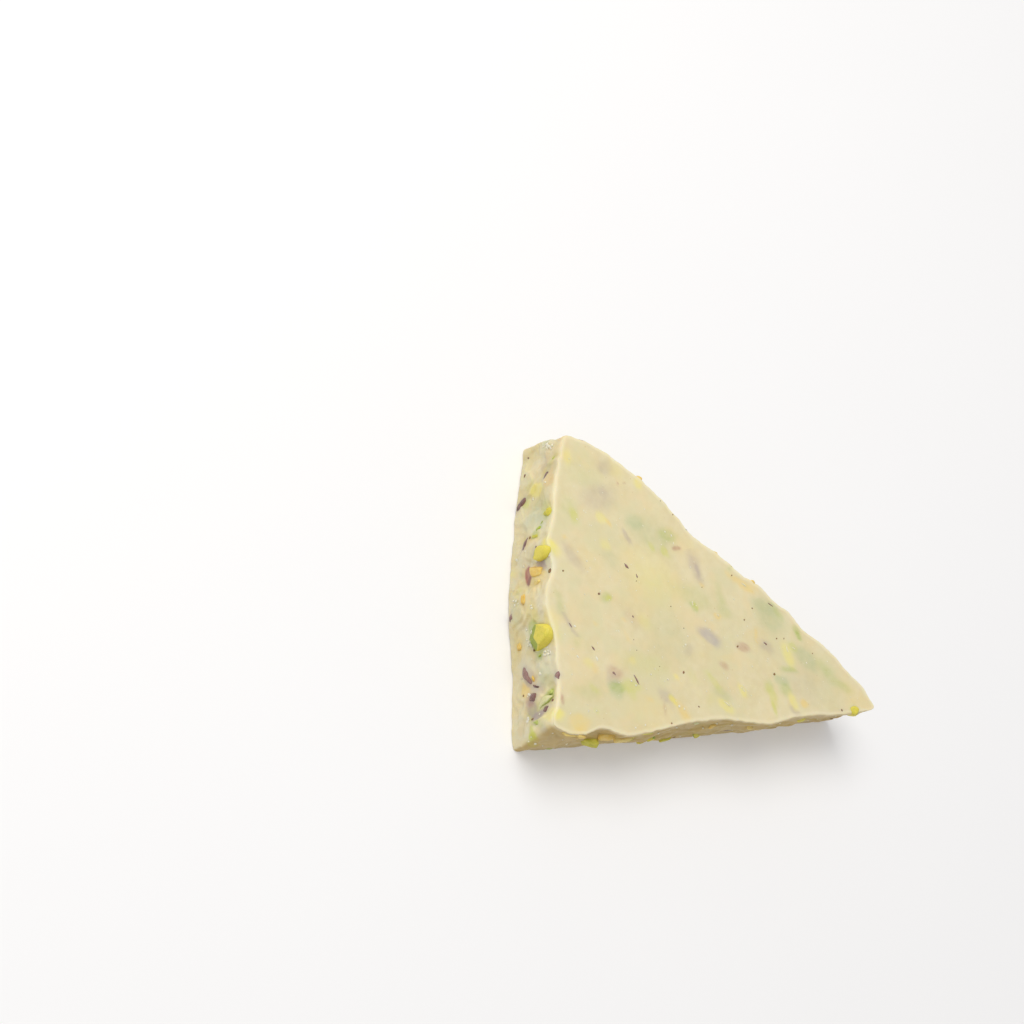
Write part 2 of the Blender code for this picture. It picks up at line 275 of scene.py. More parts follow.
UNDER_COLOURS = {
    "lilac": srgb(170, 152, 152),
    "blue": srgb(166, 160, 172),
    "grey green": srgb(174, 188, 142),
    "green": srgb(164, 184, 84),
    "lime": srgb(204, 208, 80),
    "yellow": srgb(240, 228, 120),
    "amber": srgb(238, 206, 112),
    "rose": srgb(172, 104, 92),
    "plum": srgb(112, 62, 62),
    "beige": srgb(222, 196, 142),
    "milk": srgb(226, 224, 200),
    "cream": srgb(236, 226, 180),
}


class Nut(NamedTuple):
    """One piece of nut that the break laid open. It lies on a side at a distance along its front edge and
    a height above the back face. Its length runs at the turn from the way along that side, and its depth
    into the chocolate. It stands proud of the surface by a little of that depth. Its tone goes from light,
    0, to dark, 1, and its skin lies at an angle from its length; below 0, both are drawn at random."""

    side: int
    distance: float
    height: float
    length: float
    breadth: float
    depth: float
    turn: float
    proud: float
    tone: float = -1.0
    skin_turn: float = -1.0


def nuts_on(side, *rows):
    """Nuts on one side, from their other values in order."""
    return tuple(Nut(side, *row) for row in rows)


BIG_KERNEL = Nut(LEFT, 39.6, 10.2, 5.4, 8.8, 4.6, 0, 1.05, 0.12)
# The planes that cut it, as ways along it, across it and out of the chocolate, and their distances. Its
# skin is on the first two.
BIG_KERNEL_CUTS = (
    ((-0.2, -0.5, 1.0), 0.42), ((0.45, -0.55, 0.8), 0.44), ((0.04, 0.3, 1.0), 0.5), ((0.1, 1.0, 0.1), 0.92),
    ((1.0, 0.1, 0.2), 0.86), ((-1.0, 0.35, 0.2), 0.84), ((-0.7, 0.75, 0.3), 0.88), ((0.8, 0.8, 0.1), 0.92),
)
KERNELS = nuts_on(
    LEFT,
    (24.1, 11.8, 3.1, 5.4, 2.8, 4, 0.9, 0.0, 250), (15.9, 12.7, 1.7, 2.2, 1.6, 48, 0.4, 0.5, 250),
    (15.8, 11.1, 1.4, 1.2, 1.2, 120, 0.2, 1.0, 200), (19.9, 9.0, 2.3, 1.1, 1.2, 82, 0.3, 1.0, 90),
) + nuts_on(
    BOTTOM,
    (11.9, 8.4, 3.8, 3.4, 3.6, 20, 0.9, 0.9, 270), (26.4, 8.2, 2.8, 2.5, 2.4, 0, 0.5, 0.2, 60),
    (31.0, 6.8, 3.8, 2.4, 2.2, -12, 0.45, 1.0, 0), (61.6, 11.4, 2.6, 1.9, 2.0, 8, 0.55, 0.3, 90),
)
TOASTED = nuts_on(
    LEFT,
    (26.9, 9.6, 4.0, 2.8, 2.4, 84, 0.75, 0.5), (29.2, 9.7, 2.8, 1.6, 2.0, 92, 0.35, 0.1),
    (31.4, 6.3, 2.7, 1.5, 1.4, 7, 0.3, 0.8), (39.1, 2.9, 2.2, 1.8, 1.4, -9, 0.35, 0.8),
    (46.4, 7.0, 2.0, 0.6, 0.8, 21, 0.3, 1.0),
) + nuts_on(
    BOTTOM,
    (4.6, 13.2, 5.4, 1.1, 1.6, -2, 0.4, 0.2), (6.2, 12.9, 3.0, 1.8, 2.0, -8, 0.7, 0.3),
    (8.8, 9.4, 4.2, 1.3, 1.4, -14, 0.35, 0.6), (14.0, 10.6, 4.2, 3.0, 2.6, 14, 0.7, 0.6),
    (17.8, 10.9, 4.6, 2.6, 2.6, 24, 0.6, 0.0), (41.2, 8.9, 2.1, 2.0, 2.0, -11, 0.45, 0.8),
)
SKINS = nuts_on(
    LEFT,
    (7.9, 10.0, 2.4, 1.4, 0.8, 137, 0.35, 0.8), (20.6, 5.1, 3.4, 1.5, 0.9, 133, 0.4, 0.7),
    (22.9, 10.5, 1.8, 0.5, 0.5, 42, 0.2, 0.8), (45.1, 5.1, 4.7, 1.6, 1.0, 33, 0.35, 0.3),
    (48.1, 7.8, 2.1, 0.5, 0.5, 70, 0.2, 1.0), (50.0, 7.4, 2.2, 1.8, 0.9, 31, 0.3, 0.8),
    (53.6, 11.0, 1.9, 1.0, 0.7, 118, 0.25, 0.8), (47.7, 13.6, 1.8, 1.2, 0.7, 4, 0.25, 0.2),
) + nuts_on(
    SLOPE,
    (54.9, 12.9, 2.6, 0.7, 0.7, 174, 0.75, 1.0),
)
GREENS = nuts_on(
    LEFT,
    (18.4, 9.1, 1.7, 0.9, 0.9, 118, 0.3, 1.0), (17.2, 9.9, 2.4, 0.3, 0.4, 114, 0.12, 1.0),
    (42.8, 9.5, 1.8, 0.5, 0.5, 105, 0.25, 1.0), (51.6, 10.4, 4.7, 1.6, 1.0, 119, 0.4, 0.0),
    (50.4, 11.9, 1.5, 1.1, 0.9, 104, 0.42, 0.9), (55.2, 9.0, 2.7, 0.7, 0.7, 71, 0.25, 0.9),
    (4.7, 11.8, 1.3, 0.5, 0.5, 139, 0.15, 1.0),
)
SPECKS = nuts_on(
    LEFT,
    (5.9, 1.8, 0.7, 0.8, 0.5, 53, 0.15), (19.5, 6.8, 0.6, 0.7, 0.5, 60, 0.2),
    (27.7, 13.1, 1.2, 1.0, 0.6, 121, 0.2), (41.3, 7.7, 0.6, 0.7, 0.5, 53, 0.2),
    (48.4, 3.8, 0.6, 0.6, 0.5, 63, 0.15), (52.4, 12.6, 0.6, 0.6, 0.5, 117, 0.2),
    (53.8, 6.7, 1.0, 0.4, 0.4, 107, 0.15), (2.4, 2.2, 0.6, 0.9, 0.4, 109, 0.08),
)
# Crumbs of chocolate that gather in places: (side, distance, height, reach, number).
CRUMB_HEAPS = (
    (LEFT, 1.4, 8.6, 0.9, 7), (LEFT, 2.0, 10.2, 0.7, 4), (LEFT, 38.1, 8.2, 0.7, 5),
    (LEFT, 39.6, 6.9, 1.2, 10), (LEFT, 42.7, 11.8, 1.0, 10), (LEFT, 25.0, 9.4, 0.5, 3),
    (LEFT, 31.0, 3.4, 0.9, 5), (LEFT, 57.8, 6.2, 0.9, 5), (LEFT, 24.4, 13.2, 0.8, 5),
    (LEFT, 49.2, 6.2, 0.4, 3), (LEFT, 53.4, 6.0, 0.6, 4), (LEFT, 11.2, 5.3, 0.3, 2),
    (LEFT, 22.7, 2.4, 0.4, 3), (LEFT, 45.0, 3.1, 0.2, 2), (LEFT, 46.1, 9.2, 0.2, 2),
    (LEFT, 33.6, 9.2, 0.8, 3),
)

# On the front face: specks as (x, y, width), slivers of dark skin as (x, y, length, width, turn), the pale
# edges of nuts that almost break through as the same, raised and painted pale as highlights, and white
# grains as (x, y, width), raised and painted near white, partly a painted highlight for glints.
FRONT_SPECKS = (
    (8.0, 28.9, 0.45), (15.5, 24.2, 0.6), (32.3, 8.0, 0.6), (34.5, 1.1, 0.4), (27.3, -1.7, 0.45),
    (54.6, 6.4, 0.6), (56.8, 13.5, 0.4), (58.6, 13.4, 0.35), (70.1, -1.8, 0.5), (24.8, 26.3, 0.25),
    (48.4, 26.6, 0.5), (46.6, 12.4, 0.6), (21.7, 14.9, 0.25), (22.0, 12.8, 0.3), (34.2, 16.6, 0.3),
    (52.0, 19.8, 0.35), (49.5, 17.6, 0.4), (65.2, 10.0, 0.3), (26.8, 9.4, 0.22), (32.0, 21.0, 0.3),
    (15.7, 8.8, 0.5), (40.4, 24.5, 0.25), (36.4, 39.2, 0.3), (34.0, 42.0, 0.25),
)
FRONT_SLIVERS = (
    (11.9, 13.7, 1.3, 0.3, -57), (20.8, 7.2, 2.4, 0.32, -67), (23.0, 29.3, 1.5, 0.45, -53),
    (25.1, 27.3, 1.0, 0.25, -79), (15.8, 8.7, 1.0, 0.4, -46), (56.8, 20.3, 1.7, 0.26, -34),
    (53.7, 12.6, 1.0, 0.4, -40), (7.6, 18.4, 1.2, 0.22, -62), (22.5, 19.4, 0.6, 0.24, -69),
)
FRONT_RIDGES = (
    (46.1, 3.9, 1.6, 0.3, -52), (41.6, 1.2, 2.6, 0.34, -40), (58.9, 11.2, 1.6, 0.3, -84),
    (60.6, 11.3, 1.0, 0.3, -40), (43.2, 18.8, 0.9, 0.3, -50), (37.4, 21.2, 0.7, 0.3, -80),
    (26.4, 1.2, 0.8, 0.25, -90), (51.0, 24.6, 2.0, 0.3, -36),
)
FRONT_GRAINS = (
    (13.2, 38.8, 0.35), (20.3, 43.9, 0.3), (16.6, 34.6, 0.3), (12.1, 32.5, 0.4), (13.9, 30.6, 0.4),
    (23.3, 38.7, 0.3), (33.7, 35.8, 0.4), (35.1, 35.0, 0.45), (38.4, 28.6, 0.4), (8.6, 18.1, 0.45),
    (22.0, 18.3, 0.4), (12.3, 11.7, 0.5), (19.5, 7.0, 0.5), (20.4, 6.1, 0.45), (24.4, 8.0, 0.4),
    (33.9, 13.3, 0.55), (34.8, 15.0, 0.4), (28.2, 6.8, 0.45), (29.8, 1.5, 0.5), (30.9, 0.9, 0.4),
    (21.0, -1.6, 0.4), (18.6, -2.0, 0.45), (37.4, 21.6, 0.4), (40.5, 16.0, 0.35), (8.0, 12.3, 0.35),
    (6.0, 9.0, 0.35), (10.3, 1.8, 0.35), (18.0, 16.8, 0.3), (63.2, 8.2, 0.4), (56.4, 5.3, 0.3),
    (49.4, 8.2, 0.3), (53.6, 9.5, 0.3), (39.8, 17.8, 0.35), (37.0, 4.0, 0.35), (68.6, 8.2, 0.3),
)


# Numbers and noise.


def curve_through(pairs, at):
    """Values at the places at, on a smooth curve through the pairs: each stretch is a Hermite cubic."""
    x, y = np.array(pairs, float).T
    slope = np.gradient(y, x)
    i = np.clip(np.searchsorted(x, at, side="right") - 1, 0, len(x) - 2)
    span = x[i + 1] - x[i]
    t = (at - x[i]) / span
    return (
        y[i] * (2 * t**3 - 3 * t**2 + 1)
        + y[i + 1] * (3 * t**2 - 2 * t**3)
        + slope[i] * span * (t**3 - 2 * t**2 + t)
        + slope[i + 1] * span * (t**3 - t**2)
    )


def eased(value):
    """0 below 0, 1 above 1, and between them the cubic 3 v v - 2 v v v."""
    value = np.clip(value, 0, 1)
    return value * value * (3 - 2 * value)


def cloud(points, size, seed):
    """Smooth noise from -1 to 1: random values at the corners of cubes of that size, blended by their
    eased distances."""
    corners = np.random.RandomState(seed).uniform(-1, 1, (32, 32, 32))
    at = np.asarray(points) / size
    cell = np.floor(at).astype(int)
    share = eased(at - cell)
    value = np.zeros(at.shape[:-1])
    for corner in itertools.product((0, 1), repeat=3):
        weight = np.prod(np.where(corner, share, 1 - share), axis=-1)
        index = np.moveaxis((cell + corner) % 32, -1, 0)
        value += weight * corners[tuple(index)]
    return value


def clouds(points, size, seed, layers=3):
    """Clouds added together, each half the size and half the height of the one before."""
    return sum(cloud(points, size / 2**k, seed + k) / 2**k for k in range(layers))


def relief(points):
    """The solid's own relief: plane waves of many directions and lengths, added together."""
    rng = np.random.RandomState(RELIEF_SEED)
    direction = rng.normal(size=(RELIEF_WAVES, 3))
    direction /= np.linalg.norm(direction, axis=1, keepdims=True)
    shortest, longest = RELIEF_LENGTHS
    length = shortest * (longest / shortest) ** rng.uniform(size=RELIEF_WAVES)
    phase = rng.uniform(0, 2 * np.pi, RELIEF_WAVES)
    waves = np.sin(points @ (direction * (2 * np.pi / length)[:, None]).T + phase)
    return (waves * length).sum(axis=-1) / (0.5 * length.sum())


# The slab's surface.


def side_points(corners, breaks, side, share):
    """Points at the shares of one side's chord, pushed out of the chord by the break."""
    start = np.array(corners[side])
    chord = np.array(corners[(side + 1) % 3]) - start
    along = chord / np.linalg.norm(chord)
    outward = np.array((along[1], -along[0]))
    push = curve_through(breaks[side], share * breaks[side][-1][0])
    return start + share[:, None] * chord + push[:, None] * outward


def outline(corners, breaks):
    """A poured face's closed outline, counter-clockwise from above, averaged along itself with a bell
    curve that wears its corners round."""
    sides = []
    for side in range(3):
        count = round(FRONT_BREAKS[side][-1][0] / POINT_SPACING)
        sides.append(side_points(corners, breaks, side, np.arange(count) / count))
    points = np.concatenate(sides)
    reach = int(np.ceil(3 * CORNER_SOFTNESS / POINT_SPACING))
    steps = np.arange(-reach, reach + 1)
    weights = np.exp(-0.5 * (steps * POINT_SPACING / CORNER_SOFTNESS) ** 2)
    weights /= weights.sum()
    return sum(weight * np.roll(points, step, axis=0) for weight, step in zip(weights, steps))


def outward_normals(rings):
    """Unit normals of closed counter-clockwise rings, in their planes. The last axis but one runs round
    a ring."""
    along = np.roll(rings, -1, axis=-2) - np.roll(rings, 1, axis=-2)
    normal = np.stack((along[..., 1], -along[..., 0]), axis=-1)
    return normal / np.linalg.norm(normal, axis=-1, keepdims=True)


def on_side(side, distance, height):
    """The point of the plain side at a distance along its front edge and a height."""
    share = np.array([distance / FRONT_BREAKS[side][-1][0]])
    low = side_points(BACK_CORNERS, BACK_BREAKS, side, share)[0]
    high = side_points(FRONT_CORNERS, FRONT_BREAKS, side, share)[0]
    level = height / THICKNESS
    return np.append(low * (1 - level) + high * level, height)


def lump_push(points):
    """How far the lumps stand out of the broken sides at the points: a bell-shaped rise round each."""
    push = np.zeros(points.shape[:-1])
    for side, distance, height, radius, stands_out in LUMPS:
        away = np.linalg.norm(points - on_side(side, distance, height), axis=-1)
        push += stands_out * np.exp(-((away / radius) ** 2))
    return push


def ledges(points):
    """Low steps, as brittle chocolate breaks: a cloud cut into levels, each with a steep short rise."""
    height = LEDGE_LEVELS * (1 + clouds(points, LEDGE_SIZE, 31, layers=3))
    level = np.floor(height)
    return level + eased((height - level - LEDGE_FOOT) / LEDGE_RISE) - LEDGE_LEVELS


def broken_sides(front, back, low_radius, high_radius, ledge_height, grain_height):
    """The broken sides as rows of rings from the lower edge to the upper one: straight from the back
    outline to the front one, pushed outwards by relief, lumps, ledges and grain."""
    climb = np.linspace(0, 1, SIDE_ROWS)[:, None]
    height = low_radius + climb * (THICKNESS - high_radius - low_radius)
    level = height[..., None] / THICKNESS
    flat = back * (1 - level) + front * level
    points = np.concatenate((flat, height[..., None]), axis=-1)
    middle = np.sin(np.pi * climb)
    push = (RELIEF_AT_EDGES + (RELIEF_HEIGHT - RELIEF_AT_EDGES) * middle) * relief(points)
    push += lump_push(points) * np.clip(np.minimum(4 * climb, 4 * (1 - climb)), 0, 1)
    push += ledge_height * (0.25 + 0.75 * np.sqrt(middle)) * ledges(points)
    push += grain_height * (0.5 + 0.5 * middle) * clouds(points, 1.5, 41)
    points[..., :2] += push[..., None] * outward_normals(flat)
    return points


def turned_edge(ring, radius, upwards):
    """Rings that turn a broken side's last ring through a quarter circle into a poured face."""
    angle = np.linspace(0, np.pi / 2, EDGE_ROWS + 1)[1:, None]
    rings = np.repeat(ring[None], EDGE_ROWS, axis=0)
    inset = radius * (1 - np.cos(angle))
    rings[..., :2] -= inset[..., None] * outward_normals(ring[:, :2])
    rings[..., 2] += upwards * radius * np.sin(angle)
    return rings


def poured_face(rim, rows, swell):
    """Rings from the rim towards its middle, closer together at the rim, and the middle itself. The face
    rises and sinks gently."""
    middle = rim.mean(axis=0)
    share = (1 - np.linspace(0, 1, rows + 1)[1:-1] ** 1.12)[:, None, None]
    rings = middle + (rim - middle) * share
    rings[..., 2] += swell * (1 - share[..., 0] ** 8) * relief(rings / FACE_STRETCH)
    return rings, middle


def eased_radius(ring, radius):
    """The edge's radius, made smaller where the outline turns sharply: the radius divided by one plus the
    turn of the outline within a millimetre or so."""
    normal = outward_normals(ring)
    turn = np.linalg.norm(np.roll(normal, -1, axis=0) - np.roll(normal, 1, axis=0), axis=1)
    reach = round(1.6 / POINT_SPACING)
    nearby = np.max([np.roll(turn, step) for step in range(-reach, reach + 1)], axis=0)
    for _ in range(3 * reach):
        nearby = (np.roll(nearby, 1) + nearby + np.roll(nearby, -1)) / 3
    return radius / (1 + 6 * nearby**1.5)


@functools.lru_cache(maxsize=None)
def slab_surface(ledge_height, grain_height, edge_radius):
    """The whole surface of the slab, in millimetres, as rings from the back face's middle, over the
    broken sides, to the front face's middle. Returns the rings, the two middles, and for each ring point
    how much it belongs to a broken side and how near it is to the front face's rim."""
    front = outline(FRONT_CORNERS, FRONT_BREAKS)
    back = outline(BACK_CORNERS, BACK_BREAKS)
    walk = np.column_stack((front, np.zeros(len(front))))
    front = front + (0.16 * clouds(walk, 2.4, 51))[:, None] * outward_normals(front)
    back = back + (0.1 * clouds(walk, 3.0, 61))[:, None] * outward_normals(back)
    high_radius = eased_radius(front, edge_radius * (1 + 0.45 * cloud(walk, 5.0, 71)))
    low_radius = eased_radius(back, edge_radius * (1 + 0.3 * cloud(walk, 5.0, 81)))
    sides = broken_sides(front, back, low_radius, high_radius, ledge_height, grain_height)
    low_edge = turned_edge(sides[0], low_radius, -1)[::-1]
    high_edge = turned_edge(sides[-1], high_radius, 1)
    back_rings, back_middle = poured_face(low_edge[0], BACK_ROWS, 0.0)
    front_rings, front_middle = poured_face(high_edge[-1], FRONT_ROWS, FACE_SWELL)
    rings = np.concatenate((back_rings[::-1], low_edge, sides, high_edge, front_rings))
    broken = np.zeros(rings.shape[:2])
    start = len(back_rings) + EDGE_ROWS // 2
    broken[start : start + SIDE_ROWS + EDGE_ROWS] = 1.0
    rim = high_edge[EDGE_ROWS // 2]
    from_rim = np.linalg.norm(rings - rim, axis=-1)
    return rings, back_middle, front_middle, broken, from_rim


def corner_place():
    """The lower left corner of the front face in the frame, in millimetres. The solid's box is centred
    on the frame, and the corner's place in it is the plain outlines' least x and y."""
    solid_low = np.array(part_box(CAD_NODE)[0]) / MM
    rings = slab_surface(0.0, 0.0, PLAIN_EDGE)[0]
    return np.append(solid_low[:2] - rings.reshape(-1, 3).min(axis=0)[:2], 0.0)


# Where the nuts lie.

PLACED = {"kernel": KERNELS, "toasted": TOASTED, "skin": SKINS, "green": GREENS, "speck": SPECKS}
# How many more nuts each side gets.
SCATTERED_PER_SIDE = {BOTTOM: 18, SLOPE: 40, LEFT: 2}
# How common each kind is where the nuts are scattered, and its length, breadth, depth and rise.
KIND_SHARES = {"kernel": 0.2, "toasted": 0.24, "skin": 0.24, "green": 0.18, "speck": 0.14}
KIND_SIZES = {
    "kernel": ((1.8, 4.2), (1.6, 3.4), (1.6, 3.0), (0.2, 0.7)),
    "toasted": ((1.6, 3.6), (1.2, 2.8), (1.4, 2.6), (0.2, 0.6)),
    "skin": ((1.8, 4.6), (0.7, 1.8), (0.6, 1.0), (0.15, 0.35)),
    "green": ((1.4, 4.0), (0.7, 1.8), (0.7, 1.1), (0.15, 0.4)),
    "speck": ((0.5, 0.9), (0.5, 0.8), (0.4, 0.6), (0.1, 0.2)),
}


@functools.lru_cache(maxsize=None)
def all_nuts():
    """Every nut that a break laid open, by kind: the placed ones, and others scattered over the bare
    stretches of each side, each at the barest of a few places tried."""
    rng = np.random.RandomState(11)
    nuts = {kind: list(placed) for kind, placed in PLACED.items()}
    taken = {side: [(0.0, 0.0)] for side in SCATTERED_PER_SIDE}
    for placed in PLACED.values():
        for nut in placed:
            taken[nut.side].append((nut.distance, nut.height))
    for side, count in SCATTERED_PER_SIDE.items():
        length = FRONT_BREAKS[side][-1][0]
        for kind in rng.choice(list(KIND_SHARES), count, p=list(KIND_SHARES.values())):
            tries = rng.uniform((2.0, 1.2), (length - 2.0, THICKNESS - 1.0), (6, 2))
            gaps = np.linalg.norm(tries[:, None] - np.array(taken[side])[None], axis=-1).min(axis=1)
            place = tries[gaps.argmax()]
            taken[side].append(tuple(place))
            sizes = [rng.uniform(*limits) for limits in KIND_SIZES[kind]]
            turn = rng.uniform(0, 180)
            nuts[kind].append(Nut(side, place[0], place[1], *sizes[:3], turn, sizes[3]))
    return nuts


def drawn_where_below_zero(values, rng, highest):
    """The values, with those below 0 drawn at random from 0 to the highest."""
    values = np.array(values, float)
    return np.where(values < 0, rng.uniform(0, highest, len(values)), values)


class Seats(NamedTuple):
    """Where pieces sit, one row for each: the point on the surface, and the ways along the piece, across
    it and out of the chocolate, as the rows of a turn."""

    points: np.ndarray
    ways: np.ndarray


def seats_on_sides(nuts, surface):
    """The seats of nuts on the broken sides. Each is the surface point that lies straight out from its
    place on the plain side, and it faces between the side's way out and the surface's own."""
    rings, _, _, broken, _ = surface
    across = np.roll(rings, -1, axis=1) - np.roll(rings, 1, axis=1)
    climb = np.gradient(rings, axis=0)
    normals = np.cross(across, climb)
    normals /= np.linalg.norm(normals, axis=-1, keepdims=True) + 1e-12
    points = rings[broken > 0]
    normals = normals[broken > 0]
    seats = []
    ways = []
    for nut in nuts:
        start, end = np.array(FRONT_CORNERS[nut.side]), np.array(FRONT_CORNERS[(nut.side + 1) % 3])
        along = np.append((end - start) / np.linalg.norm(end - start), 0.0)
        out = np.array((along[1], -along[0], 0.0))
        offset = points - on_side(nut.side, nut.distance, nut.height)
        sideways = offset - (offset @ out)[:, None] * out
        nearest = np.where(offset @ out > -3, np.linalg.norm(sideways, axis=1), 1e3).argmin()
        up = np.array((0.0, 0.0, 1.0))
        facing = out + 0.8 * normals[nearest]
        facing /= np.linalg.norm(facing)
        turn = np.radians(nut.turn)
        length_way = np.cos(turn) * along + np.sin(turn) * up
        length_way -= (length_way @ facing) * facing
        length_way /= np.linalg.norm(length_way)
        seats.append(points[nearest])
        ways.append((length_way, np.cross(facing, length_way), facing))
    return Seats(np.array(seats), np.array(ways))


def seats_on_front(places, turns):
    """The seats of pieces on the front face, from their (x, y) places and their turns in degrees."""
    places = np.asarray(places, float)
    turns = np.radians(np.asarray(turns, float))
    height = THICKNESS + 0.6 * FACE_SWELL * relief(
        np.column_stack((places, np.full(len(places), THICKNESS))) / FACE_STRETCH
    )
    points = np.column_stack((places, height))
    flat = np.zeros(len(places))
    along = np.stack((np.cos(turns), np.sin(turns), flat), axis=-1)
    across = np.stack((-np.sin(turns), np.cos(turns), flat), axis=-1)
    up = np.stack((flat, flat, flat + 1), axis=-1)
    return Seats(points, np.stack((along, across, up), axis=1))


# Shapes of small pieces. Each takes arrays with a row for every piece.


def unit(ways):
    """The ways with length 1."""
    return ways / np.linalg.norm(ways, axis=-1, keepdims=True)


def chopped_cuts(skin_turns, rng, sides=6):
    """The planes that cut each piece, as unit ways and distances from its middle: the skin's, which
    slants, then the nearly level top, and a ring of steep sides."""
    count = len(skin_turns)
    spin = np.radians(skin_turns)
    skin = np.stack((np.cos(spin), np.sin(spin), 0 * spin + 0.5), axis=-1)[:, None]
    top = np.append(rng.normal(scale=0.2, size=(count, 1, 2)), np.ones((count, 1, 1)), axis=-1)
    share = (np.arange(sides) + rng.uniform(-0.3, 0.3, (count, sides))) / sides
    spin = rng.uniform(0, 2 * np.pi, (count, 1)) + 2 * np.pi * share
    ring = np.stack((np.cos(spin), np.sin(spin), rng.uniform(-0.3, 0.4, (count, sides))), axis=-1)
    skin_distance = rng.uniform(0.5, 0.75, (count, 1))
    top_distance = rng.uniform(0.5, 0.7, (count, 1))
    ring_distance = rng.uniform(0.66, 0.98, (count, sides))
    ways = unit(np.concatenate((skin, top, ring), axis=1))
    return ways, np.concatenate((skin_distance, top_distance, ring_distance), axis=1)


def blocks(seats, sizes, proud, cuts, seed, grid=(12, 18), crispness=14.0, roughness=0.05, skins=1):
    """Pieces cut from a nut: a ball whose radius in each direction is smoothly the least of its cutting
    planes' distances, stretched to its length, breadth and depth. The first planes cut along the nut's
    skin. Returns the points, how much each point is skin, and the grid."""
    rings, around = grid
    planes, distance = cuts
    count = len(seats.points)
    polar = np.linspace(np.pi, 0, rings + 2)[1:-1][:, None]
    round_way = np.linspace(0, 2 * np.pi, around, endpoint=False)[None]
    ball = np.stack(
        (
            np.sin(polar) * np.cos(round_way),
            np.sin(polar) * np.sin(round_way),
            np.cos(polar) + 0 * round_way,
        ),
        axis=-1,
    ).reshape(-1, 3)
    ways_out = np.concatenate((ball, ((0, 0, -1), (0, 0, 1))))
    cut = np.clip(np.einsum("pd,ncd->npc", ways_out, planes), 0, None) / distance[:, None]
    share = cut**crispness
    total = share.sum(axis=-1) + 1.0
    radius = total ** (-1 / crispness)
    skin = share[..., :skins].sum(axis=-1) / total
    shift = np.random.RandomState(seed).uniform(0, 30, (count, 1, 3))
    radius *= 1 + roughness * clouds(ways_out[None] + shift, 0.5, seed + 9)
    local = ways_out[None] * radius[..., None] * sizes[:, None] / 2
    sunk = local[..., 2].max(axis=1) - proud
    centres = seats.points - sunk[:, None] * seats.ways[:, 2]
    points = np.einsum("npk,nkd->npd", local, seats.ways) + centres[:, None]
    return points, skin, grid


def slivers(seats, sizes, proud, seed, grid=(14, 12), curls=1.0):
    """Shreds of a nut's skin: a flat tube that narrows to a point at both ends, as the sine of the way
    along it to the power 0.7, and that bends sideways and curls. The edge runs along its two sides."""
    rings, around = grid
    rng = np.random.RandomState(seed)
    count = len(seats.points)
    along = np.linspace(0, 1, rings + 2)[1:-1][:, None]
    angle = np.linspace(0, 2 * np.pi, around, endpoint=False)[None]
    swell = np.sin(np.pi * along) ** 0.7
    bend = rng.uniform(-0.16, 0.16, (count, 1, 1))
    curl = curls * rng.uniform(-0.1, 0.04, (count, 1, 1))
    wave = rng.uniform(0, 6, (count, 1, 1))
    bow = 4 * (along - 0.5) ** 2
    uneven = 1 + 0.22 * np.sin(9 * along + wave)
    length, breadth, depth = (sizes[:, k, None, None] for k in range(3))
    local = np.stack(
        (
            length * (along - 0.5 + 0 * angle),
            breadth / 2 * swell * uneven * np.cos(angle) + bend * length * bow,
            depth / 2 * swell * np.sin(angle) + curl * length * bow,
        ),
        axis=-1,
    ).reshape(count, -1, 3)
    tips = [
        np.stack((sign * length / 2, bend * length, curl * length), axis=-1).reshape(count, 1, 3)
        for sign in (-1, 1)
    ]
    local = np.concatenate((local, *tips), axis=1)
    edge = np.tile(np.abs(np.cos(angle)) ** 3 + 0 * along, (count, 1, 1)).reshape(count, -1)
    edge = np.concatenate((edge, np.ones((count, 2))), axis=1)
    centres = seats.points + (proud - sizes[:, 2] / 2)[:, None] * seats.ways[:, 2]
    points = np.einsum("npk,nkd->npd", local, seats.ways) + centres[:, None]
    return points, edge, grid


def sizes_of(nuts):
    """The sizes of the pieces and how far they stand proud, one row for each."""
    sizes = np.array([(nut.length, nut.breadth, nut.depth) for nut in nuts])
    return sizes, np.array([nut.proud for nut in nuts])


# Meshes.


def grid_faces(rings, around):
    """Corners of the faces of a closed surface of rings of points, followed by its first and last pole:
    a quad between neighbours, and a fan of triangles at each pole."""
    ring = np.arange(rings - 1)[:, None] * around
    here = np.arange(around)[None]
    after = (here + 1) % around
    quads = np.stack((ring + here, ring + after, ring + around + after, ring + around + here), axis=-1)
    first = rings * around
    last_ring = (rings - 1) * around
    low = np.stack((first + 0 * here, after, here), axis=-1)
    high = np.stack((first + 1 + 0 * here, last_ring + here, last_ring + after), axis=-1)
    return quads.reshape(-1, 4), np.concatenate((low, high)).reshape(-1, 3)


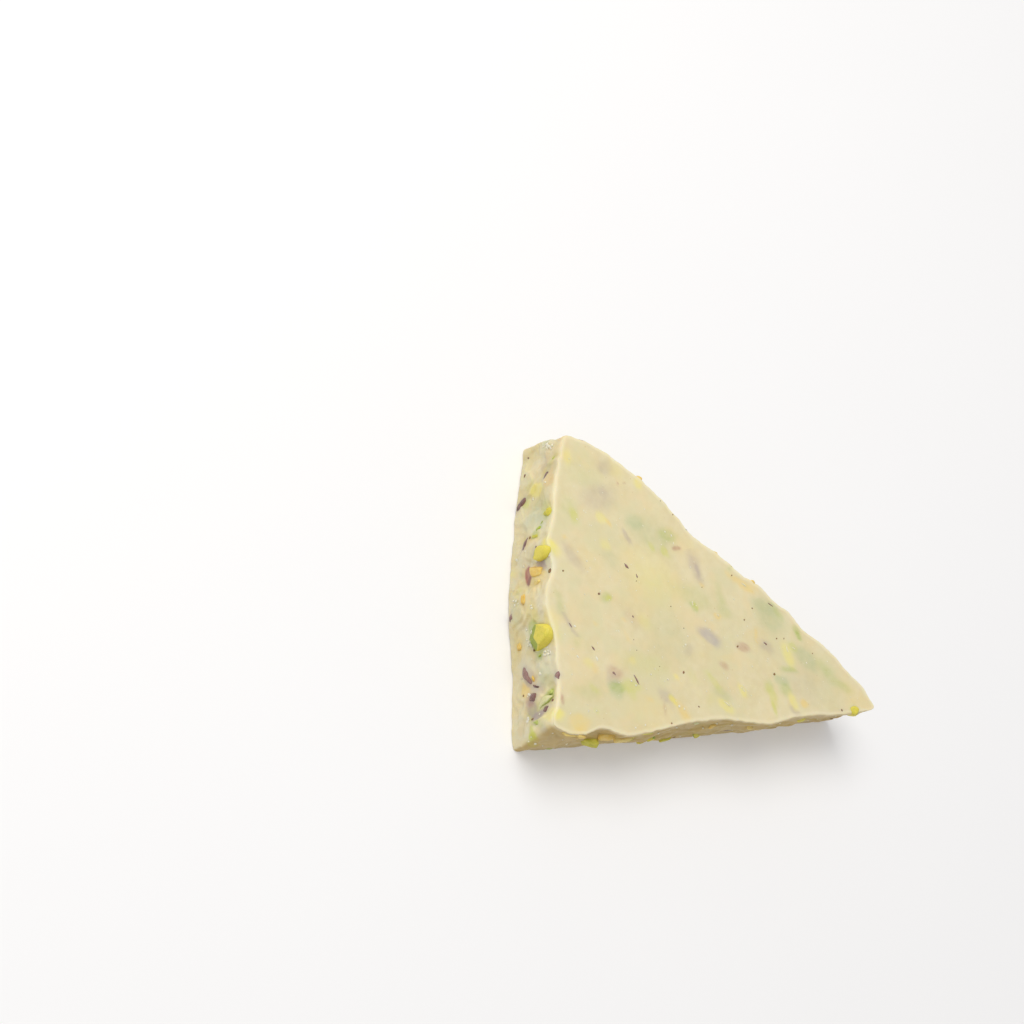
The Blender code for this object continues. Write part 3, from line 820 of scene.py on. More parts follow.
def make_piece(name, points, grid, material, values):
    """One mesh object from pieces of the same grid. Points are in millimetres from the slab's corner,
    with a row for each piece, and values are the numbers or colours kept on them by name."""
    count, per_piece = points.shape[:2]
    quads, fans = grid_faces(*grid)
    offset = (np.arange(count) * per_piece)[:, None, None]
    quads = (quads[None] + offset).reshape(-1, 4)
    fans = (fans[None] + offset).reshape(-1, 3)
    corners = np.concatenate((quads.ravel(), fans.ravel()))
    starts = np.concatenate((np.arange(len(quads)) * 4, quads.size + np.arange(len(fans)) * 3))
    mesh = bpy.data.meshes.new(name)
    mesh.vertices.add(count * per_piece)
    mesh.loops.add(len(corners))
    mesh.polygons.add(len(starts))
    points = points.copy()
    points[..., 2] = np.clip(points[..., 2], LOWEST, HIGHEST)
    places = (points + corner_place()) * MM
    mesh.vertices.foreach_set("co", places.astype(np.float32).ravel())
    mesh.loops.foreach_set("vertex_index", corners.astype(np.int32))
    mesh.polygons.foreach_set("loop_start", starts.astype(np.int32))
    mesh.update(calc_edges=True)
    if mesh.validate():
        raise RuntimeError(f"{name}: the mesh needed repair")
    for key, value in values.items():
        value = np.asarray(value, np.float32).reshape(count * per_piece, -1)
        if value.shape[1] == 1:
            layer = mesh.attributes.new(key, "FLOAT", "POINT")
            layer.data.foreach_set("value", value.ravel())
        else:
            layer = mesh.attributes.new(key, "FLOAT_COLOR", "POINT")
            layer.data.foreach_set("color", value.ravel())
    mesh.shade_smooth()
    mesh.materials.append(material)
    piece = bpy.data.objects.new(name, mesh)
    bpy.context.scene.collection.objects.link(piece)
    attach(piece, BODY)
    return piece


# Finishes.


class Value:
    """A socket that a shader can read, with arithmetic: an expression on it adds its Math nodes."""

    def __init__(self, finish, socket):
        self.finish = finish
        self.socket = socket

    def math(self, operation, *values):
        return self.finish.node("ShaderNodeMath", {"operation": operation}, dict(enumerate(values)))

    def __add__(self, other):
        return self.math("ADD", self, other)

    def __radd__(self, other):
        return self.math("ADD", other, self)

    def __sub__(self, other):
        return self.math("SUBTRACT", self, other)

    def __rsub__(self, other):
        return self.math("SUBTRACT", other, self)

    def __mul__(self, other):
        return self.math("MULTIPLY", self, other)

    def __rmul__(self, other):
        return self.math("MULTIPLY", other, self)

    def held(self):
        """The value, held between 0 and 1."""
        return self.math("MINIMUM", self.math("MAXIMUM", self, 0.0), 1.0)

    def between(self, low, high):
        """0 up to the low value, 1 from the high one, and eased between them."""
        return self.finish.node(
            "ShaderNodeMapRange",
            {"interpolation_type": "SMOOTHSTEP"},
            {0: self, 1: low, 2: high, 3: 0.0, 4: 1.0},
        )


class Finish:
    """A material, its Principled shader, and the nodes that feed it."""

    def __init__(self, name, constants):
        self.material = bpy.data.materials.new(name)
        self.material.use_nodes = True
        self.tree = self.material.node_tree
        self.shader = self.tree.nodes["Principled BSDF"]
        for key, value in constants.items():
            self.shader.inputs[key].default_value = value
        self.place = self.node("ShaderNodeTexCoord", {}, {}, output="Object")

    def node(self, kind, settings, inputs, output=0):
        """Adds a node of that kind with its settings, then the values or links of its sockets, and
        returns one of its outputs."""
        node = self.tree.nodes.new(kind)
        for key, value in settings.items():
            setattr(node, key, value)
        for key, value in inputs.items():
            if isinstance(value, Value):
                self.tree.links.new(value.socket, node.inputs[key])
            else:
                node.inputs[key].default_value = value
        return Value(self, node.outputs[output])

    def feed(self, name, value):
        """Links a value to one of the shader's own sockets."""
        self.tree.links.new(value.socket, self.shader.inputs[name])

    def blend(self, first, second, share):
        """The first colour, turning into the second as the share goes from 0 to 1."""
        inputs = {0: share, 6: opaque(first), 7: opaque(second)}
        return self.node("ShaderNodeMix", {"data_type": "RGBA"}, inputs, output=2)

    def noise(self, size, detail=3.0, roughness=0.55):
        """Cloudy values about 0.5, in patches of that many millimetres."""
        scale = 1 / (size * MM)
        inputs = {"Vector": self.place, "Scale": scale, "Detail": detail, "Roughness": roughness}
        return self.node("ShaderNodeTexNoise", {}, inputs, output="Fac")

    def flecks(self, spacing, radius, share):
        """1 in round flecks of about that radius and spacing in millimetres, and 0 between them. Only
        that share of the places has one."""
        inputs = {"Vector": self.place, "Scale": 1 / (spacing * MM), "Randomness": 1.0}
        away = self.node("ShaderNodeTexVoronoi", {"feature": "F1"}, inputs, output="Distance")
        chance = self.node("ShaderNodeTexVoronoi", {"feature": "F1"}, inputs, output="Color")
        chance = self.node("ShaderNodeSeparateColor", {}, {0: chance}, output="Red")
        fleck = 1 - away.between(0.6 * radius / spacing, 1.5 * radius / spacing)
        return fleck * chance.between(1 - share - 0.01, 1 - share + 0.01)

    def kept(self, name, output="Fac"):
        """A number or colour kept on the mesh under that name."""
        return self.node("ShaderNodeAttribute", {"attribute_name": name}, {}, output=output)

    def bump(self, height, depth):
        """Raises the surface by the height value times a depth in millimetres."""
        inputs = {"Height": height, "Distance": depth * MM, "Strength": 1.0}
        self.feed("Normal", self.node("ShaderNodeBump", {}, inputs, output="Normal"))


def opaque(colour):
    """A colour with full alpha, or a linked value as it is."""
    return colour if isinstance(colour, Value) else (*colour[:3], 1.0)


def chocolate_finish(looks):
    """White chocolate: waxy cream, warmer here and cooler there, with a painted highlight that makes it
    paler at the rim, rougher where it broke, with painted shade that makes it deeper along the lower side,
    with tiny specks, and coloured where nuts lie under the surface."""
    constants = {
        "IOR": 1.46,
        "Subsurface Weight": looks.glow,
        "Subsurface Radius": (1.0, 0.78, 0.42),
        "Subsurface Scale": looks.glow_reach,
    }
    finish = Finish("white_chocolate", constants)
    broken = finish.kept("broken")
    patches = finish.noise(9.0, detail=2.0)
    mottle = finish.noise(1.6, detail=4.0, roughness=0.6)
    grain = finish.noise(0.34, detail=3.0)
    shade = (patches.between(0.35, 0.65) * 0.5 + mottle.between(0.3, 0.7) * 0.5).held()
    base = finish.blend(looks.pale, looks.deep, shade)
    base = finish.blend(base, looks.warm, finish.noise(7.0, detail=2.0).between(0.5, 0.64) * 0.55)
    base = finish.blend(base, looks.cool, finish.noise(11.0, detail=3.0).between(0.5, 0.62) * 0.55)
    base = finish.blend(base, looks.milky, finish.noise(3.2).between(0.48, 0.62) * broken * 0.5)
    base = finish.blend(base, looks.waxy, finish.noise(4.4, detail=2.0).between(0.46, 0.62) * broken * 0.6)
    base = finish.blend(base, looks.fleck, finish.flecks(2.1, 0.11, 0.6) * 0.45)
    base = finish.blend(base, looks.pale_fleck, finish.flecks(1.5, 0.1, 0.5) * 0.6)
    stain = finish.kept("stain", "Color")
    cover = finish.kept("stain", "Alpha")
    base = finish.blend(base, stain, (cover * (0.8 + mottle * 0.4)).held())
    # Painted shade: the broken side along the lower edge is made darker and yellower, as that side lies in
    # shade.
    base = finish.blend(base, looks.lower_side_shade, finish.kept("lower") * 0.62)
    # Painted highlight: the front face is made paler along its rim, where light catches the edge.
    rim = 1 - finish.kept("from_rim").between(0.1, 1.0)
    base = finish.blend(base, looks.rim, rim * 0.5)
    finish.feed("Base Color", base)
    finish.feed("Roughness", 0.4 + broken * 0.08 + (mottle - 0.5) * 0.22)
    coarse = finish.noise(0.9, detail=4.0, roughness=0.62)
    height = grain * (0.25 + broken * 0.45) + coarse * broken * 1.2
    finish.bump(height, 0.08)
    return finish.material


def nut_finish(name, flesh, flesh_deep, skin, skin_share=1.0, roughness=0.46, grain_size=0.35):
    """Nut: two tones of flesh in grains, its skin where the piece has one, and each piece lighter or
    darker than the next by its own tone."""
    constants = {
        "IOR": 1.45,
        "Subsurface Weight": 0.22,
        "Subsurface Radius": (1.0, 0.8, 0.3),
        "Subsurface Scale": 0.8 * MM,
    }
    finish = Finish(name, constants)
    tone = finish.kept("tone")
    grains = finish.noise(grain_size, detail=3.0, roughness=0.6)
    fine = finish.noise(1.3, detail=2.0)
    shade = tone * 0.76 + (grains.between(0.35, 0.7) - 0.4) * 0.34
    shade = (shade + (fine.between(0.4, 0.62) - 0.4) * 0.26).held()
    base = finish.blend(flesh, flesh_deep, shade)
    mask = finish.kept("skin").between(0.25, 0.75) * skin_share
    base = finish.blend(base, skin, (mask * (0.7 + grains * 0.5)).held())
    finish.feed("Base Color", base)
    finish.feed("Roughness", roughness + (grains - 0.5) * 0.3)
    finish.bump(grains + fine * 0.6, 0.08)
    return finish.material


# Colour that nuts under the surface give it.


# How much of their cover the front face's patches keep, under its skin of plain chocolate.
FRONT_COVER = 0.72
FRONT_PATCH_DEPTH = 2.0
SIDE_PATCH_DEPTH = 2.4
# The hidden nuts: how common each colour is, the limits of their places (x, y, z), how far their tops stay
# below the front face, and their number.
HIDDEN_SHARES = {
    "green": 0.14, "grey green": 0.14, "lime": 0.12, "yellow": 0.16, "amber": 0.14, "lilac": 0.16,
    "rose": 0.08,
}
HIDDEN_SPAN = ((-2, 80), (-5, 58), (0.0, THICKNESS - 1.4))
HIDDEN_BELOW_FRONT = 1.0
HIDDEN_COUNT = 480
# The colour that each kind of laid-open nut gives to the chocolate round it, its cover and its softness.
HALO_COLOURS = {"kernel": "lime", "toasted": "amber", "skin": "lilac", "green": "green"}
HALO_COVER = 0.26
HALO_SOFTNESS = 0.45


class Stain(NamedTuple):
    """The colour of a nut seen through chocolate: an ellipsoid with its turn and half sizes, the share of
    its colour that shows where it meets the surface, and the distance over which that fades."""

    centre: np.ndarray
    ways: np.ndarray
    radii: np.ndarray
    colour: tuple
    cover: float
    softness: float


def stains_under_front():
    """The placed patches of the front face."""
    stains = []
    for kind, patches in UNDER_FRONT.items():
        for x, y, length, width, turn, cover, softness in patches:
            ways = seats_on_front([(x, y)], [turn]).ways[0]
            radii = np.array((length, width, FRONT_PATCH_DEPTH)) / 2
            centre = np.array((x, y, THICKNESS))
            stains.append(Stain(centre, ways, radii, UNDER_COLOURS[kind], FRONT_COVER * cover, softness))
    return stains


def stains_under_sides(surface):
    """The placed patches of the broken sides."""
    stains = []
    for kind, patches in UNDER_SIDES.items():
        nuts = [Nut(*patch[:5], SIDE_PATCH_DEPTH, patch[5], 0.0) for patch in patches]
        seats = seats_on_sides(nuts, surface)
        for nut, patch, point, ways in zip(nuts, patches, seats.points, seats.ways):
            radii = np.array((nut.length, nut.breadth, nut.depth)) / 2
            stains.append(Stain(point, ways, radii, UNDER_COLOURS[kind], *patch[6:]))
    return stains


def stains_under_all(count):
    """Nuts scattered all through the slab, which show faintly wherever they come near a surface. Few do
    under the front face, which has its own."""
    rng = np.random.RandomState(23)
    stains = []
    kinds = list(HIDDEN_SHARES)
    share = np.array(list(HIDDEN_SHARES.values()))
    for _ in range(count):
        place = np.array([rng.uniform(*limits) for limits in HIDDEN_SPAN])
        radii = rng.uniform(0.4, 1.7, 3)
        place[2] = min(place[2], THICKNESS - radii.max() - HIDDEN_BELOW_FRONT)
        colour = UNDER_COLOURS[kinds[rng.choice(len(kinds), p=share / share.sum())]]
        turn, _ = np.linalg.qr(rng.normal(size=(3, 3)))
        stains.append(Stain(place, turn, radii, colour, rng.uniform(0.1, 0.4), rng.uniform(0.4, 0.9)))
    return stains


def stains_round_nuts(surface):
    """The glow of each laid-open nut into the chocolate that holds it."""
    stains = []
    for kind, colour in HALO_COLOURS.items():
        nuts = all_nuts()[kind]
        seats = seats_on_sides(nuts, surface)
        for nut, point, ways in zip(nuts, seats.points, seats.ways):
            radii = np.array((nut.length, nut.breadth, 1.6 * nut.depth)) / 2
            halo = Stain(point, ways, 0.9 * radii, UNDER_COLOURS[colour], HALO_COVER, HALO_SOFTNESS)
            stains.append(halo)
    return stains


def stained(points, stains):
    """The colour and cover of the stains at the points, one over another. A stain covers by its share
    inside its ellipsoid, and outside by a bell curve of the gap over its softness."""
    place = points + 0.3 * np.stack([clouds(points, 1.8, 90 + 7 * k) for k in range(3)], axis=-1)
    uneven = 1 + 0.22 * clouds(points, 0.8, 190)
    colour = np.zeros(points.shape) + 1e-4 * np.array(UNDER_COLOURS["cream"])
    cover = np.full(len(points), 1e-4)
    for stain in stains:
        offset = place - stain.centre
        near = np.flatnonzero((np.abs(offset) < stain.radii.max() + 3 * stain.softness).all(axis=1))
        local = offset[near] @ stain.ways.T
        gap = (np.linalg.norm(local / stain.radii, axis=1) - 1) * stain.radii.min()
        share = stain.cover * uneven[near] * np.exp(-((np.clip(gap, 0, None) / stain.softness) ** 2))
        colour[near] = colour[near] * (1 - share)[:, None] + share[:, None] * np.array(stain.colour)
        cover[near] = cover[near] * (1 - share) + share
    return np.column_stack((colour / cover[:, None], cover))


# What a user can change.


def colour_setting(name, description, red, green, blue):
    """A colour property, with its default given from 0 to 255."""
    default = srgb(red, green, blue)
    return FloatVectorProperty(
        name=name, description=description, default=default, size=3, subtype="COLOR", min=0, max=1
    )


def length_setting(name, description, millimetres):
    """A length property, with its default given in millimetres."""
    default = millimetres * MM
    return FloatProperty(name=name, description=description, default=default, min=0, unit="LENGTH")


def power_setting(name, description, default):
    """A power property, in watts."""
    return FloatProperty(name=name, description=description, default=default, min=0, unit="POWER")


def strength_setting(name, description, default, highest=10.0):
    """A plain strength, from 0 to the highest."""
    return FloatProperty(
        name=name, description=description, default=default, min=0, max=highest, subtype="FACTOR"
    )


def count_setting(name, description, default):
    """A whole number of pieces."""
    return IntProperty(name=name, description=description, default=default, min=1)


class ChocolateLooks(bpy.types.PropertyGroup):
    """Sizes and colours of the chocolate."""

    pale: colour_setting("Pale", "The chocolate where it is palest", 229, 217, 178)
    deep: colour_setting("Deep", "The chocolate where it is deepest", 221, 207, 162)
    warm: colour_setting("Warm", "Its warmer patches", 230, 212, 166)
    cool: colour_setting("Cool", "Its cooler patches", 219, 212, 170)
    milky: colour_setting("Milky", "Cloudy patches of the broken sides", 219, 213, 180)
    waxy: colour_setting("Waxy", "Yellower patches of the broken sides", 217, 200, 142)
    # Painted shade: the colour that darkens and yellows the broken side along the lower edge, which lies in
    # shade.
    lower_side_shade: colour_setting("Lower_shade", "The broken side along the lower edge", 184, 146, 52)
    # Painted highlight: the rim colour makes the front face's edge paler, where light catches it; crumbs,
    # grains and raised nut edges also take it.
    rim: colour_setting("Rim", "The thin edge of the front face", 240, 230, 196)
    fleck: colour_setting("Fleck", "Tiny specks of nut", 196, 166, 96)
    pale_fleck: colour_setting("Pale fleck", "Tiny pale specks", 238, 230, 200)
    glow: strength_setting("Glow", "How much light passes under the surface", 0.45, 1.0)
    glow_reach: length_setting("Glow reach", "How far that light travels", 0.9)
    ledge_height: length_setting("Ledge height", "The steps of the broken sides", 0.34)
    grain_height: length_setting("Grain height", "The fine roughness of the broken sides", 0.13)
    edge_radius: length_setting("Edge radius", "The round of a poured face's edge", 0.6)
    crumb: colour_setting("Crumb", "White crumbs and grains", 238, 232, 208)
    crumb_count: count_setting("Crumbs", "Loose crumbs on the broken sides", 100)
    crumb_size: length_setting("Crumb size", "The length of a large crumb", 0.75)
    grain_count: count_setting("Grains", "Raised grains on the front face", 210)
    grain_size: length_setting("Grain size", "The width of a large grain", 0.3)


class NutLooks(bpy.types.PropertyGroup):
    """Colours of the nuts."""

    kernel: colour_setting("Kernel", "The flesh of a pistachio", 228, 212, 84)
    kernel_deep: colour_setting("Kernel, deep", "The greener flesh", 190, 186, 62)
    kernel_skin: colour_setting("Kernel skin", "The green outside of the flesh", 142, 162, 34)
    toasted: colour_setting("Toasted", "The flesh of a toasted piece", 232, 208, 130)
    toasted_deep: colour_setting("Toasted, deep", "Its browner flesh", 226, 180, 66)
    toasted_skin: colour_setting("Toasted skin", "Its outside", 212, 172, 92)
    skin: colour_setting("Skin", "The purple skin", 168, 134, 124)
    skin_deep: colour_setting("Skin, deep", "Its darker streaks", 88, 58, 56)
    skin_edge: colour_setting("Skin edge", "Its thin edge", 132, 92, 82)
    green: colour_setting("Green", "The pale middle of the green shreds", 222, 216, 166)
    green_deep: colour_setting("Green, deep", "Their greener flesh", 166, 182, 58)
    green_edge: colour_setting("Green edge", "Their thin edge", 148, 166, 46)
    speck: colour_setting("Speck", "Specks of dark skin", 150, 120, 60)


class StudioLooks(bpy.types.PropertyGroup):
    """The floor and the light."""

    floor: colour_setting("Floor", "The pale floor", 228, 227, 226)
    floor_glow: strength_setting("Floor glow", "Light from within the floor", 0.22)
    room: colour_setting("Room", "The light of the room", 250, 251, 255)
    room_strength: strength_setting("Room strength", "How bright the room is", 0.52)
    key_power: power_setting("Key power", "The large soft light", 3.8)
    fill_power: power_setting("Fill power", "The light near the camera", 0.1)


# The pieces.

# What the middles of the poured faces hold for their distance from the rim, in millimetres.
FAR_FROM_RIM = 30.0
# The rows of points up each small piece, and the points round it.
COARSE_GRID = (7, 10)
FINE_GRID = (64, 96)

def slab_measures(looks):
    """The slab's surface for the sizes that are set."""
    return slab_surface(looks.ledge_height / MM, looks.grain_height / MM, looks.edge_radius / MM)


def nut_piece(name, kind, material, seed, flat=False, **shape_options):
    """One object with every nut of a kind, shaped and seated on the broken sides."""
    nuts = all_nuts()[kind]
    rng = np.random.RandomState(seed + 1)
    seats = seats_on_sides(nuts, slab_measures(bpy.context.scene.chocolate_looks))
    sizes, proud = sizes_of(nuts)
    if flat:
        points, skin, grid = slivers(seats, sizes, proud, seed, **shape_options)
    else:
        skin_turns = drawn_where_below_zero([nut.skin_turn for nut in nuts], rng, 360)
        cuts = chopped_cuts(skin_turns, rng)
        points, skin, grid = blocks(seats, sizes, proud, cuts, seed, **shape_options)
    tone = drawn_where_below_zero([nut.tone for nut in nuts], rng, 1)[:, None] + 0 * skin
    return make_piece(name, points, grid, material, {"skin": skin, "tone": tone})


def front_blocks(name, places, lengths, turns, material, seed, rise):
    """One object with small round pieces on the front face, from their (x, y, width) places."""
    places = np.array(places)
    widths = places[:, 2]
    sizes = np.stack((lengths * widths, widths, 0.7 * widths), axis=-1)
    cuts = chopped_cuts(turns, np.random.RandomState(seed))
    seats = seats_on_front(places[:, :2], turns)
    points, skin, grid = blocks(seats, sizes, rise * widths, cuts, seed, COARSE_GRID, roughness=0.03)
    return make_piece(name, points, grid, material, {"skin": skin, "tone": 0.5 + 0 * skin})


def front_shreds(name, shreds, material, seed, rise):
    """One object with thin shreds on the front face, from their (x, y, length, width, turn)."""
    shreds = np.array(shreds)
    sizes = np.stack((shreds[:, 2], shreds[:, 3], shreds[:, 3]), axis=-1)
    seats = seats_on_front(shreds[:, :2], shreds[:, 4])
    points, edge, grid = slivers(seats, sizes, rise * shreds[:, 3], seed, curls=0.0)
    return make_piece(name, points, grid, material, {"skin": edge, "tone": 0.5 + 0 * edge})


class CHOCOLATE_OT_slab(bpy.types.Operator):
    """The chocolate itself, with its poured faces, broken sides and the colour of what lies under them"""

    bl_idname = "chocolate.slab"
    bl_label = "Slab"

    def execute(self, context):
        looks = context.scene.chocolate_looks
        surface = slab_measures(looks)
        rings, back_middle, front_middle, broken, from_rim = surface
        points = np.concatenate((rings.reshape(-1, 3), back_middle[None], front_middle[None]))
        stains = stains_under_all(HIDDEN_COUNT) + stains_round_nuts(surface)
        stains += stains_under_sides(surface) + stains_under_front()
        # The broken sides that face -Y, which lie in shade: they get the painted shade of the finish.
        lower = broken * eased(-1.4 * outward_normals(rings)[..., 1] - 0.2)
        values = {
            "stain": stained(points, stains),
            "broken": np.append(broken.ravel(), (0.0, 0.0)),
            "lower": np.append(lower.ravel(), (0.0, 0.0)),
            "from_rim": np.append(from_rim.ravel(), (FAR_FROM_RIM, FAR_FROM_RIM)),
        }
        slab = make_piece("slab_surface", points[None], rings.shape[:2], chocolate_finish(looks), values)
        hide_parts(CAD_NODE)
        return {"FINISHED"}


class CHOCOLATE_OT_kernels(bpy.types.Operator):
    """Green and yellow pieces of pistachio kernel on the broken sides"""

    bl_idname = "chocolate.kernels"
    bl_label = "Kernels"

    def execute(self, context):
        looks = context.scene.nut_looks
        finish = nut_finish("pistachio_kernel", looks.kernel, looks.kernel_deep, looks.kernel_skin)
        nut_piece("pistachio_kernels", "kernel", finish, 101, grid=(20, 30), roughness=0.07)
        sizes, proud = sizes_of([BIG_KERNEL])
        seats = seats_on_sides([BIG_KERNEL], slab_measures(context.scene.chocolate_looks))
        ways = unit(np.array([[way for way, _ in BIG_KERNEL_CUTS]]))
        cuts = (ways, np.array([[distance for _, distance in BIG_KERNEL_CUTS]]))
        points, skin, grid = blocks(seats, sizes, proud, cuts, 151, FINE_GRID, 16.0, 0.025, skins=2)
        values = {"skin": skin, "tone": BIG_KERNEL.tone + 0 * skin}
        make_piece("big_kernel", points, grid, finish, values)
        return {"FINISHED"}


class CHOCOLATE_OT_toasted(bpy.types.Operator):
    """Tan and orange pieces of toasted nut on the broken sides"""

    bl_idname = "chocolate.toasted"
    bl_label = "Toasted pieces"

    def execute(self, context):
        looks = context.scene.nut_looks
        finish = nut_finish("toasted_nut", looks.toasted, looks.toasted_deep, looks.toasted_skin, 0.8)
        nut_piece("toasted_pieces", "toasted", finish, 201, grid=(20, 28), crispness=9.0, roughness=0.12)
        return {"FINISHED"}


class CHOCOLATE_OT_skins(bpy.types.Operator):
    """Shreds of the nuts' purple skin on the broken sides"""

    bl_idname = "chocolate.skins"
    bl_label = "Skins"

    def execute(self, context):
        looks = context.scene.nut_looks
        finish = nut_finish("purple_skin", looks.skin, looks.skin_deep, looks.skin_edge, 0.7, 0.4)
        nut_piece("skin_shreds", "skin", finish, 301, flat=True)
        front_shreds("front_shreds", FRONT_SLIVERS, finish, 311, 0.4)
        return {"FINISHED"}


class CHOCOLATE_OT_greens(bpy.types.Operator):
    """Green shreds of kernel on the broken sides"""

    bl_idname = "chocolate.greens"
    bl_label = "Green shreds"

    def execute(self, context):
        looks = context.scene.nut_looks
        finish = nut_finish("green_shred", looks.green, looks.green_deep, looks.green_edge, 0.8, 0.42)
        nut_piece("green_shreds", "green", finish, 401, flat=True)
        return {"FINISHED"}


class CHOCOLATE_OT_specks(bpy.types.Operator):
    """Dark specks of skin, on the broken sides and flush with the front face"""

    bl_idname = "chocolate.specks"
    bl_label = "Specks"

    def execute(self, context):
        looks = context.scene.nut_looks
        finish = nut_finish("dark_speck", looks.speck, looks.skin_edge, looks.skin_deep, 0.4)
        nut_piece("side_specks", "speck", finish, 501, grid=COARSE_GRID)
        turns = 37.0 * np.arange(len(FRONT_SPECKS))
        front_blocks("front_specks", FRONT_SPECKS, 1.25, turns, finish, 511, 0.15)
        return {"FINISHED"}


class CHOCOLATE_OT_crumbs(bpy.types.Operator):
    """White crumbs of chocolate on the broken sides, some of them in heaps"""

    bl_idname = "chocolate.crumbs"
    bl_label = "Crumbs"

    def execute(self, context):
        looks = context.scene.chocolate_looks
        rng = np.random.RandomState(601)
        largest = looks.crumb_size / MM
        places = []
        for side in rng.choice(3, looks.crumb_count, p=(0.36, 0.48, 0.16)):
            length = FRONT_BREAKS[side][-1][0]
            size = largest * rng.uniform(0.3, 0.9) ** 1.6
            places.append((side, rng.uniform(1, length - 1), rng.uniform(0.8, THICKNESS - 0.6), size))
        for side, distance, height, reach, number in CRUMB_HEAPS:
            for away in rng.uniform(-reach, reach, (number, 2)):
                size = largest * rng.uniform(0.5, 1)
                places.append((side, distance + 0.7 * away[0], height + away[1], size))
        nuts = []
        for side, distance, height, size in places:
            sizes = (size, 0.8 * size, 0.7 * size)
            nuts.append(Nut(side, distance, height, *sizes, rng.uniform(0, 180), 0.36 * size))
        sizes, proud = sizes_of(nuts)
        seats = seats_on_sides(nuts, slab_measures(looks))
        cuts = chopped_cuts(rng.uniform(0, 360, len(nuts)), rng)
        points, skin, grid = blocks(seats, sizes, proud, cuts, 611, COARSE_GRID, roughness=0.1)
        finish = nut_finish("chocolate_crumb", looks.crumb, looks.crumb, looks.rim, 0.4, 0.34)
        make_piece("chocolate_crumbs", points, grid, finish, {"skin": skin, "tone": 0.4 + 0 * skin})
        return {"FINISHED"}


class CHOCOLATE_OT_grains(bpy.types.Operator):
    """Tiny white grains on the front face, whose near-white colour is partly a painted highlight for
    glints, and the pale edges of nuts that almost break through it, raised and painted pale as highlights
    """

    bl_idname = "chocolate.grains"
    bl_label = "Grains"

    def execute(self, context):
        looks = context.scene.chocolate_looks
        rng = np.random.RandomState(701)
        share = np.sort(rng.uniform(0, 1, (looks.grain_count, 2)), axis=1)
        weights = np.stack((share[:, 0], share[:, 1] - share[:, 0], 1 - share[:, 1]), axis=1)
        corners = np.array(FRONT_CORNERS)
        places = weights @ (corners.mean(axis=0) + 0.97 * (corners - corners.mean(axis=0)))
        width = looks.grain_size / MM * rng.uniform(0.35, 1, looks.grain_count) ** 1.5
        places = np.concatenate((np.column_stack((places, width)), FRONT_GRAINS))
        turns = rng.uniform(-110, -50, len(places))
        lengths = rng.choice((1.0, 1.4, 2.2), len(places), p=(0.6, 0.3, 0.1))
        # Partly painted highlight: the raised grains take the near-white crumb colour so that they show as
        # glints.
        white = nut_finish("white_grain_glint", looks.crumb, looks.crumb, looks.rim, 0.3, 0.3)
        front_blocks("front_grains", places, lengths, turns, white, 711, 0.22)
        # Painted highlight: the raised nut edges take the pale rim colour.
        edge = nut_finish("pale_edge_highlight", looks.rim, looks.pale, looks.rim, 0.4, 0.34)
        front_shreds("front_ridges", FRONT_RIDGES, edge, 721, 0.3)
        return {"FINISHED"}


# The studio. The camera is a real one: its place in millimetres from the frame's origin, its heading from
# +Y towards +X, how far down it looks, and its roll.
CAMERA_PLACE = (-343.7, -90.4, 440.9)
CAMERA_HEADING = 70.92
CAMERA_DOWN = 53.08
CAMERA_ROLL = 65.13
CAMERA_LENS = 100.0
# The floor's width in metres, and how far it lies below the slab in millimetres.
FLOOR_SPAN = 4.0
FLOOR_GAP = 0.02
# The two lights: the ways that they come from, their widths and distance in metres, and their colours.
KEY_FROM = (-0.25, 0.42, 0.87)
FILL_FROM = (-0.78, -0.2, 0.6)
KEY_SIZE = 0.5
FILL_SIZE = 0.6
LIGHT_DISTANCE = 0.75
KEY_COLOUR = (1.0, 0.985, 0.955)
FILL_COLOUR = (1.0, 0.99, 0.97)


def add_light(name, from_way, power, size, colour):
    """A square area light that looks at the slab from that way."""
    data = bpy.data.lights.new(name, "AREA")
    data.shape = "SQUARE"
    data.size = size
    data.energy = power
    data.color = colour
    lamp = bpy.data.objects.new(name, data)
    way = Vector(from_way).normalized()
    lamp.location = way * LIGHT_DISTANCE
    lamp.rotation_euler = way.to_track_quat("Z", "Y").to_euler()
    bpy.context.scene.collection.objects.link(lamp)


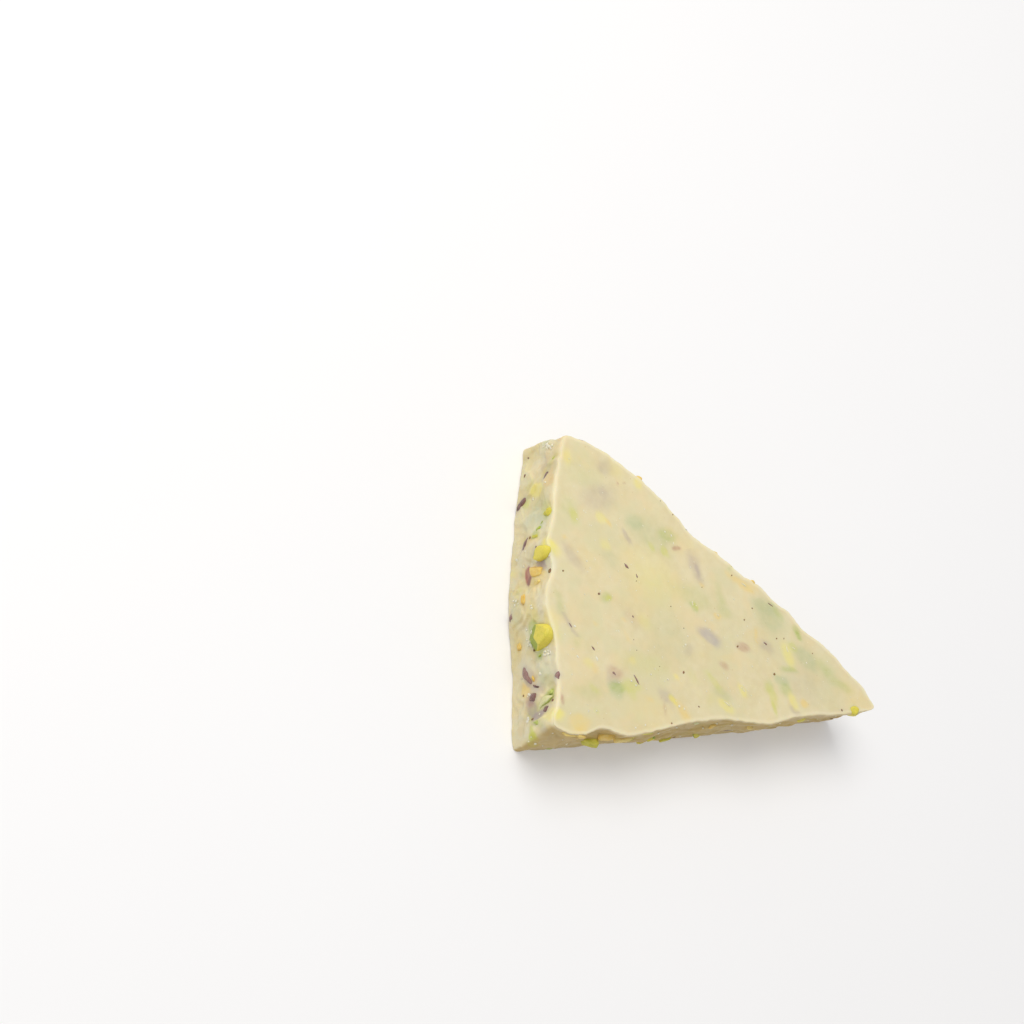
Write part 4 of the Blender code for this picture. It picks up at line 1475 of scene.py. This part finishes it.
class CHOCOLATE_OT_studio(bpy.types.Operator):
    """A plain pale floor, soft light from above and the left, and the camera"""

    bl_idname = "chocolate.studio"
    bl_label = "Studio"

    def execute(self, context):
        looks = context.scene.studio_looks
        scene = context.scene
        span = np.linspace(-FLOOR_SPAN / 2, FLOOR_SPAN / 2, 3)
        across, away = np.meshgrid(span, span)
        points = np.stack((across, away, 0 * across - FLOOR_GAP * MM), axis=-1).reshape(-1, 3)
        corner = np.array((0, 1, 3, 4))
        faces = np.stack((corner, corner + 1, corner + 4, corner + 3), axis=-1)
        mesh = bpy.data.meshes.new("floor")
        mesh.from_pydata(points.tolist(), [], faces.tolist())
        glow = {"Emission Color": opaque(looks.floor), "Emission Strength": looks.floor_glow}
        finish = Finish("floor", {"Roughness": 0.5, **glow})
        cloudy = finish.noise(60.0, detail=2.0)
        dimmer = tuple(0.985 * np.array(looks.floor))
        finish.feed("Base Color", finish.blend(looks.floor, dimmer, cloudy))
        mesh.materials.append(finish.material)
        floor = bpy.data.objects.new("floor", mesh)
        scene.collection.objects.link(floor)

        world = bpy.data.worlds.new("room")
        world.use_nodes = True
        background = world.node_tree.nodes["Background"]
        background.inputs["Color"].default_value = opaque(looks.room)
        background.inputs["Strength"].default_value = looks.room_strength
        scene.world = world
        scene.view_settings.view_transform = "Standard"

        add_light("key", KEY_FROM, looks.key_power, KEY_SIZE, KEY_COLOUR)
        add_light("fill", FILL_FROM, looks.fill_power, FILL_SIZE, FILL_COLOUR)

        data = bpy.data.cameras.new("camera")
        data.lens = CAMERA_LENS
        camera = bpy.data.objects.new("camera", data)
        turn = Matrix.Rotation(np.radians(-CAMERA_HEADING), 4, "Z")
        tilt = Matrix.Rotation(np.radians(90 - CAMERA_DOWN), 4, "X")
        roll = Matrix.Rotation(np.radians(CAMERA_ROLL), 4, "Z")
        place = Matrix.Translation(Vector(CAMERA_PLACE) * MM)
        camera.matrix_world = place @ turn @ tilt @ roll
        scene.collection.objects.link(camera)
        scene.camera = camera
        return {"FINISHED"}


OPERATORS = (
    CHOCOLATE_OT_slab,
    CHOCOLATE_OT_kernels,
    CHOCOLATE_OT_toasted,
    CHOCOLATE_OT_skins,
    CHOCOLATE_OT_greens,
    CHOCOLATE_OT_specks,
    CHOCOLATE_OT_crumbs,
    CHOCOLATE_OT_grains,
    CHOCOLATE_OT_studio,
)


LOOKS = {"chocolate_looks": ChocolateLooks, "nut_looks": NutLooks, "studio_looks": StudioLooks}


class CHOCOLATE_PT_panel(bpy.types.Panel):
    """Lists the pieces and what can be changed"""

    bl_idname = "CHOCOLATE_PT_panel"
    bl_label = "White Chocolate Slab"
    bl_space_type = "VIEW_3D"
    bl_region_type = "UI"
    bl_category = "Chocolate"

    def draw(self, context):
        for name in LOOKS:
            looks = getattr(context.scene, name)
            box = self.layout.box()
            for key in looks.__annotations__:
                box.prop(looks, key)
        for operator in OPERATORS:
            self.layout.operator(operator.bl_idname)


CLASSES = (*LOOKS.values(), *OPERATORS, CHOCOLATE_PT_panel)


def register():
    for kind in CLASSES:
        bpy.utils.register_class(kind)
    for name, kind in LOOKS.items():
        setattr(bpy.types.Scene, name, PointerProperty(type=kind))


def unregister():
    for name in LOOKS:
        delattr(bpy.types.Scene, name)
    for kind in reversed(CLASSES):
        bpy.utils.unregister_class(kind)


def main():
    """Makes every piece in turn."""
    register()
    bpy.ops.chocolate.slab()
    bpy.ops.chocolate.kernels()
    bpy.ops.chocolate.toasted()
    bpy.ops.chocolate.skins()
    bpy.ops.chocolate.greens()
    bpy.ops.chocolate.specks()
    bpy.ops.chocolate.crumbs()
    bpy.ops.chocolate.grains()
    bpy.ops.chocolate.studio()


if __name__ == "__main__":
    main()
